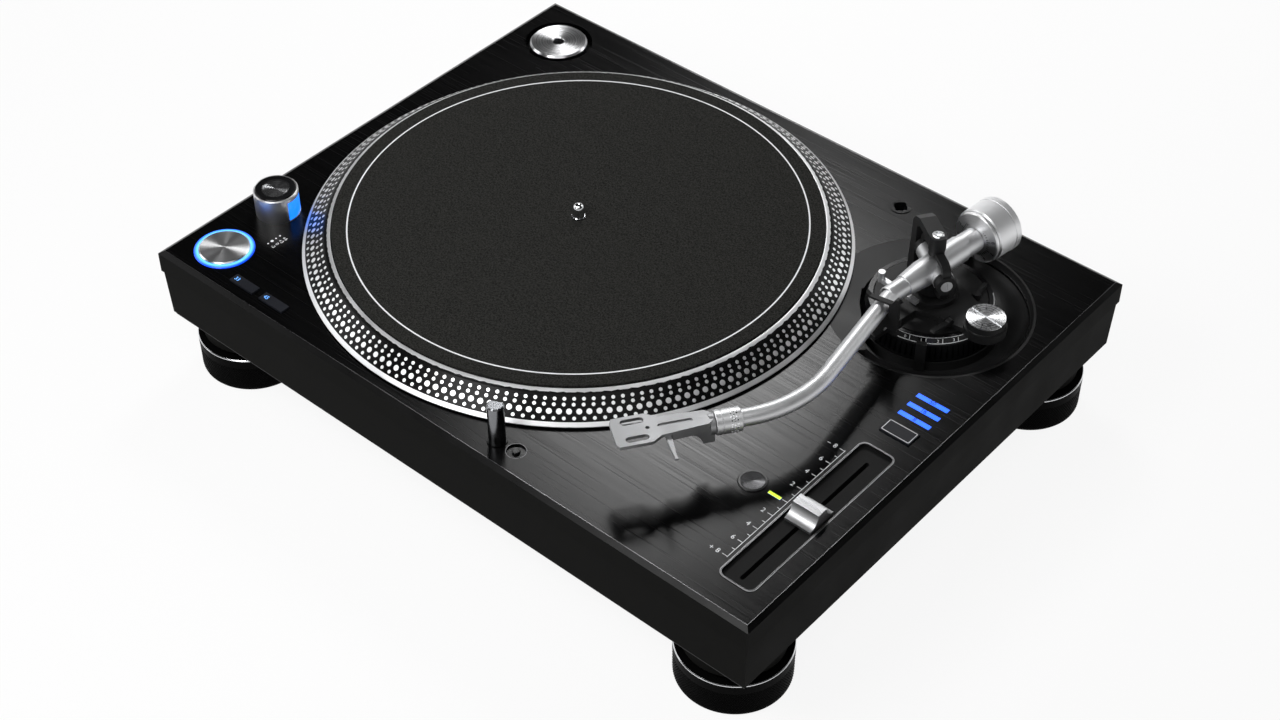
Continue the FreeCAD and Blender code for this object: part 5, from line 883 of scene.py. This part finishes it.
    def strobe_legend(self) -> None:
        """The small key to the rows of dots, printed beside the tower."""
        piece = Piece("strobe_legend")
        for index, (radius, text) in enumerate(((0.6, "+6"), (0.6, "+3"), (1.0, "0"), (0.6, "-3"))):
            spot = shift(-181.5 * MM, (-119.0 - index * 3.2) * MM, self.deck_top)
            piece.dome(spot, radius * MM, self.print_rise, 12)
            piece.word(text, spot @ shift(4.4 * MM), 3.2 * MM)
        piece.finish("cabinet", self.paints.white)

    def light_button_highlight_ring(self) -> None:
        """A painted highlight on the edge of the shallow dish round the light's button."""
        middle = centre_of("light_button")
        piece = Piece("light_dish_highlight")
        # A thin grey metal ring: a painted highlight where the dish's edge catches the light.
        ring = hoop(5.55 * MM, 5.95 * MM, -0.2 * MM, self.print_rise)
        piece.lathe(shift(middle.x, middle.y, self.deck_top), ring, 48)
        piece.finish("cabinet", Satin("dish_highlight_grey", (0.1, 0.1, 0.103), 0.35).build(), True)

    def spun_face(self, node: str, body: str, profile: Profile,
                  look: tuple[Triple, float, float]) -> None:
        """Lay a thin spun face on a round control.

        Args:
            node: the control's CAD node.
            body: the body that it moves with.
            profile: radius and height of the face's points from the node's top, in millimetres.
            look: its colour, its roughness and how much it is dished.
        """
        low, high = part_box(node)
        middle = (low + high) / 2
        colour, roughness, dishing = look
        face = Spun(f"{node}_spun", colour, tuple(middle), roughness=roughness, anisotropy=0.9, dishing=dishing)
        piece = Piece(f"{node}_face")
        piece.lathe(shift(middle.x, middle.y, high.z), [(radius * MM, height * MM) for radius, height in profile], 64)
        piece.finish(body, face.build(), True)

    def centre_light(self) -> None:
        """The green lens over the centre light."""
        piece = Piece("centre_light_lens")
        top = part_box("top_plate")[1].z - 0.8 * MM
        piece.bar(shift(178.2 * MM, -93.8 * MM, top), (8.2 * MM, 2.0 * MM, 0.12 * MM))
        piece.finish("cabinet", Glow("lit_green", self.green, 1.1).build())

    def key_figures(self) -> None:
        """The lit speed figures on the two keys."""
        lit = Glow("lit_figures", (0.15, 0.42, 1.0), 1.0).build()
        for node, text in (("speed_key_left", "33"), ("speed_key_right", "45")):
            low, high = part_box(node)
            piece = Piece(f"{node}_figure")
            piece.word(text, shift(low.x + 4.5 * MM, (low.y + high.y) / 2, high.z), 3.7 * MM)
            body = "key_left_body" if node.endswith("left") else "key_right_body"
            piece.finish(body, lit)

    def tempo_marks(self) -> None:
        """The scale beside the fader."""
        piece = Piece("tempo_scale")
        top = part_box("range_button")[1].z - 1.0 * MM
        line_x, middle, pitch, rise, pen = 186.6 * MM, -93.6 * MM, 6.3 * MM, self.print_rise, 0.35 * MM
        sign_pen = (2.2 * MM, 0.4 * MM, rise)
        for step in range(-8, 9):
            length = 3.4 * MM if step % 2 == 0 else 2.0 * MM
            mark = shift(line_x, middle + step * pitch, top)
            piece.bar(mark @ shift(-length / 2), (length, pen, rise))
            if step % 2 == 0 and step:
                piece.word(str(abs(step)), mark @ shift(-6.4 * MM), 4.5 * MM)
            if abs(step) == 8:
                sign = mark @ shift(-10.6 * MM)
                piece.bar(sign, sign_pen)
                if step < 0:
                    piece.bar(sign @ turn(math.pi / 2), sign_pen)
        piece.bar(shift(line_x, middle, top) @ turn(math.pi / 2), (16.2 * pitch, pen, rise))
        piece.finish("cabinet", self.paints.white)

    def tempo_line(self) -> None:
        """The white line on the ridge of the tempo knob."""
        low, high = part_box("tempo_knob")
        piece = Piece("tempo_knob_line")
        place = shift((low.x + high.x) / 2, (low.y + high.y) / 2, high.z)
        piece.bar(place, (high.x - low.x - 0.4 * MM, 0.9 * MM, self.print_rise))
        piece.finish("tempo_knob_body", self.paints.white)


@dataclass
class Arm:
    """The tonearm with its base, rest and headshell."""

    paints: Paints
    pivot: Vector = field(default_factory=lambda: Vector(joint_of("arm_swing")["pos_m"]))
    forward: Vector = field(default_factory=lambda: -Vector(joint_of("counterweight_travel")["axis"]))
    heading: float = math.radians(-96.8)
    dial_cone: tuple[float, float, float, float] = (34.2 * MM, 1.6 * MM, 7.6 * MM, 15.2 * MM)
    dial_ticks: int = 40
    skate_marks: int = 22
    stub_radius: float = 7.3 * MM
    collar_points: int = 22

    def build(self) -> None:
        """Dress the arm."""
        dress(Moulded("dish_black", (0.012, 0.012, 0.0123), 0.38, 2600, specular=0.18).build(), "arm_dish")
        dress(self.paints.plain, "arm_base", "gimbal_arch", "gimbal_ring", "arm_rest", "arm_clip", "cue_lever",
              "lock_lever")
        dress(self.paints.gloss, "height_ring")
        tube = Satin("tube_silver", (0.7, 0.705, 0.715), 0.47).build()
        dress(tube, "arm_housing", "arm_tube", "rear_stub")
        dress(self.paints.silver, "cue_lifter", "pivot_screws", "locking_collar", "counterweight_bush")
        turned = Spun("weight_silver", (0.86, 0.865, 0.875), tuple(self.pivot), tuple(self.forward), roughness=0.4)
        dress(turned.build(), "counterweight", "tracking_dial")
        dress(self.paints.chrome, "arch_screw")
        dress(Satin("shell_silver", (0.35, 0.353, 0.36), 0.5).build(), "headshell", "finger_lift")
        dress(self.paints.black, "switch_slider", "power_inlet")
        dress(Polished("gilt", (0.75, 0.58, 0.28), 0.25).build(), "rear_terminals")
        self.ring_marks()
        self.skate_knob()
        self.dial_marks()
        self.knurls()
        self.collar_knurl()

    def lengthwise(self) -> Matrix:
        """A frame at the pivot whose Z runs forwards along the arm and whose X points up."""
        return axes(self.pivot, UP, self.forward)

    def ring_marks(self) -> None:
        """The height scale: two arcs round the ring's bevel with ticks and figures between them."""
        piece = Piece("height_scale")
        place = shift(self.pivot.x, self.pivot.y) @ turn(self.heading)
        arcs = (
            [(36.15 * MM, 95.04 * MM), (36.5 * MM, 95.05 * MM), (36.2 * MM, 94.8 * MM)],
            [(37.55 * MM, 91.95 * MM), (37.7 * MM, 91.55 * MM), (37.3 * MM, 91.5 * MM)],
        )
        for start, sweep in ((12, 64), (118, 24)):
            for profile in arcs:
                piece.lathe(place, profile, 40, math.radians(start), math.radians(sweep))
        lean = turn(math.pi / 2 - math.atan2(1.5, 4.5), "Y")
        level = 93.3 * MM
        for index, degrees in enumerate((23.0, 37.7, 52.4, 66.7)):
            turned = place @ turn(math.radians(degrees))
            piece.bar(turned @ shift(37.14 * MM, 0, level) @ lean, (2.9 * MM, 0.4 * MM, 0.06 * MM))
            figure = turned @ turn(math.radians(-4.2)) @ shift(37.2 * MM, 0, level) @ lean
            piece.word(str(index), figure @ turn(math.pi / 2), 2.6 * MM)
        piece.finish("height_ring_body", self.paints.white)

    def skate_knob(self) -> None:
        """The anti-skating knob: a spun top with figures over a dark band."""
        middle = Vector(joint_of("anti_skate_turn")["pos_m"])
        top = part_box("anti_skate_knob")[1].z
        spun = Spun("knob_spun", (0.6, 0.605, 0.615), tuple(middle), roughness=0.26, anisotropy=0.85).build()
        dress(spun, "anti_skate_knob")
        place = shift(middle.x, middle.y, top) @ turn(self.heading)
        band = Piece("anti_skate_band")
        inner, outer = 11.2 * MM, 11.36 * MM
        band.lathe(place, [(inner, -4.6 * MM), (outer, -4.6 * MM), (outer, -0.7 * MM), (inner, -0.6 * MM)], 72)
        band.finish("anti_skate_body", self.paints.plain, True)
        marks = Piece("anti_skate_marks")
        count, rise = self.skate_marks, 0.05 * MM
        for step in range(count):
            if step % (count // 2) == 0:
                continue
            turned = place @ turn(math.pi / 2 + ROUND * step / count)
            length = 1.4 * MM if step % 2 else 2.2 * MM
            marks.bar(turned @ shift(10.9 * MM - length / 2), (length, 0.28 * MM, rise))
            if step % 2 == 0:
                marks.word(str(step // 2), turned @ shift(7.1 * MM) @ turn(-math.pi / 2), 2.6 * MM, rise)
        marks.finish("anti_skate_body", self.paints.dark)

    def dial_marks(self) -> None:
        """Ticks and figures on the dial's cone, and the cross lines on the stub before it."""
        piece = Piece("tracking_dial_marks")
        place = self.lengthwise()
        front, depth, inner, outer = self.dial_cone
        slope = depth / (outer - inner)
        lean = turn(math.atan(slope), "Y")

        def spot(turned: Matrix, radius: float) -> Matrix:
            """The frame on the cone at a radius."""
            return turned @ shift(radius, 0, 0.05 * MM - front - slope * (radius - inner)) @ lean

        for step in range(self.dial_ticks):
            major = step % 4 == 0
            reach = 2.6 * MM if major else 1.5 * MM
            turned = place @ turn(ROUND * step / self.dial_ticks)
            piece.bar(spot(turned, 8.9 * MM + reach / 2), (reach, 0.35 * MM, 0.06 * MM))
            if major:
                piece.word(str(step // 4), spot(turned, 13.2 * MM) @ turn(-math.pi / 2), 3.3 * MM)
        piece.finish("tracking_dial_body", self.paints.dark)
        stub = Piece("rear_stub_marks")
        radius = self.stub_radius
        stub.bar(place @ shift(radius, 0, -28.0 * MM) @ turn(math.pi / 2, "Y"), (12.0 * MM, 0.25 * MM, 0.05 * MM))
        line = hoop(radius - 0.1 * MM, radius + 0.04 * MM, 0, 0.22 * MM)
        for height in (-24.0, -29.0):
            stub.lathe(place @ shift(0, 0, height * MM), line, 24, -0.6, 1.2)
        stub.lathe(place, hoop(radius - 0.3 * MM, radius + 0.2 * MM, -21.4 * MM, -20.9 * MM), 64)
        stub.finish("arm_body", self.paints.dark)

    def knurls(self) -> None:
        """The fine ridges round the dial's edge and round the back of the weight."""
        place = self.lengthwise()
        for name, body, radius, start, end, count in (
            ("tracking_dial_knurl", "tracking_dial_body", 15.8, -37.8, -36.4, 110),
            ("counterweight_knurl", "counterweight_body", 16.8, -56.2, -52.5, 120),
        ):
            piece = Piece(name)
            length, middle = (end - start) * MM, (end + start) / 2 * MM
            for step in range(count):
                ridge = place @ turn(ROUND * step / count) @ shift(radius * MM, 0, middle) @ turn(math.pi / 2, "Y")
                piece.bar(ridge, (length, 0.42 * MM, 0.08 * MM))
            piece.finish(body, self.paints.silver)

    def collar_knurl(self) -> None:
        """Three rows of small raised points round the headshell's collar."""
        axis = Vector(joint_of("collar_turn")["axis"])
        front = Vector(joint_of("collar_turn")["pos_m"])
        place = axes(front, UP, axis)
        piece = Piece("collar_knurl")
        for row in range(3):
            for step in range(self.collar_points):
                turned = place @ turn(ROUND * (step + row / 2) / self.collar_points)
                spot = turned @ shift(6.88 * MM, 0, (-9.2 - 1.6 * row) * MM) @ turn(math.pi / 2, "Y")
                piece.dome(spot, 0.62 * MM, 0.22 * MM, 8)
        piece.finish("collar_body", self.paints.bright, True)


@dataclass
class Studio:
    """The floor, the lights and the camera."""

    camera_place: Triple = (0.6489, -0.7493, 0.9315)
    sight: Triple = (-0.47865, 0.55508, -0.68028)
    lens: float = 61.58
    sensor: float = 36.0
    floor_half: float = 12.0
    floor_glow: float = 0.9
    ceiling: float = 0.03

    def build(self) -> None:
        """Set up the studio."""
        self.camera()
        self.floor()
        self.world()
        deck, above = (0, 0, 0.09), (-0.48, 0.66, 0.92)
        for name, place, target, size, power in (
            ("overhead_softbox", (0.42, -0.42, 1.15), deck, (0.7, 0.7), 2.6),
            ("left_softbox", (-1.4, -0.7, 0.9), deck, (0.8, 0.6), 5.0),
            ("rear_softbox", (0.5, 1.5, 0.9), deck, (0.6, 0.6), 3.5),
            ("deck_softbox", above, (*above[:2], 0), (0.3, 0.4), 6.4),
            ("front_softbox", (-0.1, -0.62, 0.74), deck, (0.36, 0.36), 4.0),
        ):
            self.lamp(name, Vector(place), Vector(target), size, power)
        bpy.context.scene.view_settings.view_transform = "Standard"

    def camera(self) -> None:
        """The camera, where the photo was taken from."""
        data = bpy.data.cameras.new("camera")
        data.lens = self.lens
        data.sensor_width = self.sensor
        data.clip_start = 0.01
        holder = bpy.data.objects.new("camera", data)
        holder.location = self.camera_place
        holder.rotation_euler = Vector(self.sight).to_track_quat("-Z", "Y").to_euler()
        bpy.context.scene.collection.objects.link(holder)
        bpy.context.scene.camera = holder

    def floor(self) -> None:
        """A plain white floor that keeps the object's shadow."""
        data = bpy.data.meshes.new("floor")
        data.from_pydata([(sx * self.floor_half, sy * self.floor_half, 0) for sx, sy in CORNERS], [], [(0, 1, 2, 3)])
        kit = NodeKit("floor_white")
        kit.set(Base_Color=(0.9, 0.9, 0.9, 1), Roughness=0.8, Specular_IOR_Level=0.1)
        white = kit.add("Emission")
        mix = kit.add("MixShader")
        path = kit.add("LightPath")
        either = kit.solve("Math", "MAXIMUM", path.outputs["Is Glossy Ray"], path.outputs["Is Transmission Ray"])
        seen = kit.solve("Math", "MAXIMUM", path.outputs["Is Camera Ray"], either)
        share = kit.solve("Math", "MULTIPLY", seen, self.floor_glow)
        output = kit.tree.nodes["Material Output"]
        kit.link(share, mix.inputs["Fac"])
        kit.link(kit.shader.outputs["BSDF"], mix.inputs[1])
        kit.link(white.outputs["Emission"], mix.inputs[2])
        kit.link(mix.outputs["Shader"], output.inputs["Surface"])
        data.materials.append(kit.material)
        piece = bpy.data.objects.new("floor", data)
        bpy.context.scene.collection.objects.link(piece)

    def world(self) -> None:
        """White walls round the table under a dim ceiling."""
        world = bpy.data.worlds.new("studio")
        bpy.context.scene.world = world
        world.use_nodes = True
        tree = world.node_tree
        back = tree.nodes["Background"]
        where = tree.nodes.new("ShaderNodeTexCoord")
        split = tree.nodes.new("ShaderNodeSeparateXYZ")
        fade = tree.nodes.new("ShaderNodeMapRange")
        fade.interpolation_type = "SMOOTHSTEP"
        for name, number in (("From Min", 0.05), ("From Max", 0.4), ("To Min", 1.0), ("To Max", self.ceiling)):
            fade.inputs[name].default_value = number
        tree.links.new(where.outputs["Generated"], split.inputs["Vector"])
        tree.links.new(split.outputs["Z"], fade.inputs["Value"])
        tree.links.new(fade.outputs["Result"], back.inputs["Strength"])
        back.inputs["Color"].default_value = (1, 1, 1, 1)

    def lamp(self, name: str, place: Vector, target: Vector, size: tuple[float, float], power: float) -> None:
        """Add a soft rectangular lamp that faces a target.

        Args:
            name: its name.
            place: where it stands.
            target: what it faces.
            size: its sides.
            power: its power in watts.
        """
        data = bpy.data.lights.new(name, "AREA")
        data.shape = "RECTANGLE"
        data.size, data.size_y = size
        data.energy = power
        holder = bpy.data.objects.new(name, data)
        holder.location = place
        holder.rotation_euler = (target - place).to_track_quat("-Z", "Y").to_euler()
        bpy.context.scene.collection.objects.link(holder)


def main() -> None:
    """Dress each sub-assembly in order, then set up the studio."""
    logging.basicConfig(level=logging.INFO)
    paints = Paints()
    Cabinet(paints).build()
    Platter(paints).build()
    Controls(paints).build()
    Arm(paints).build()
    Studio().build()


if __name__ == "__main__":
    main()
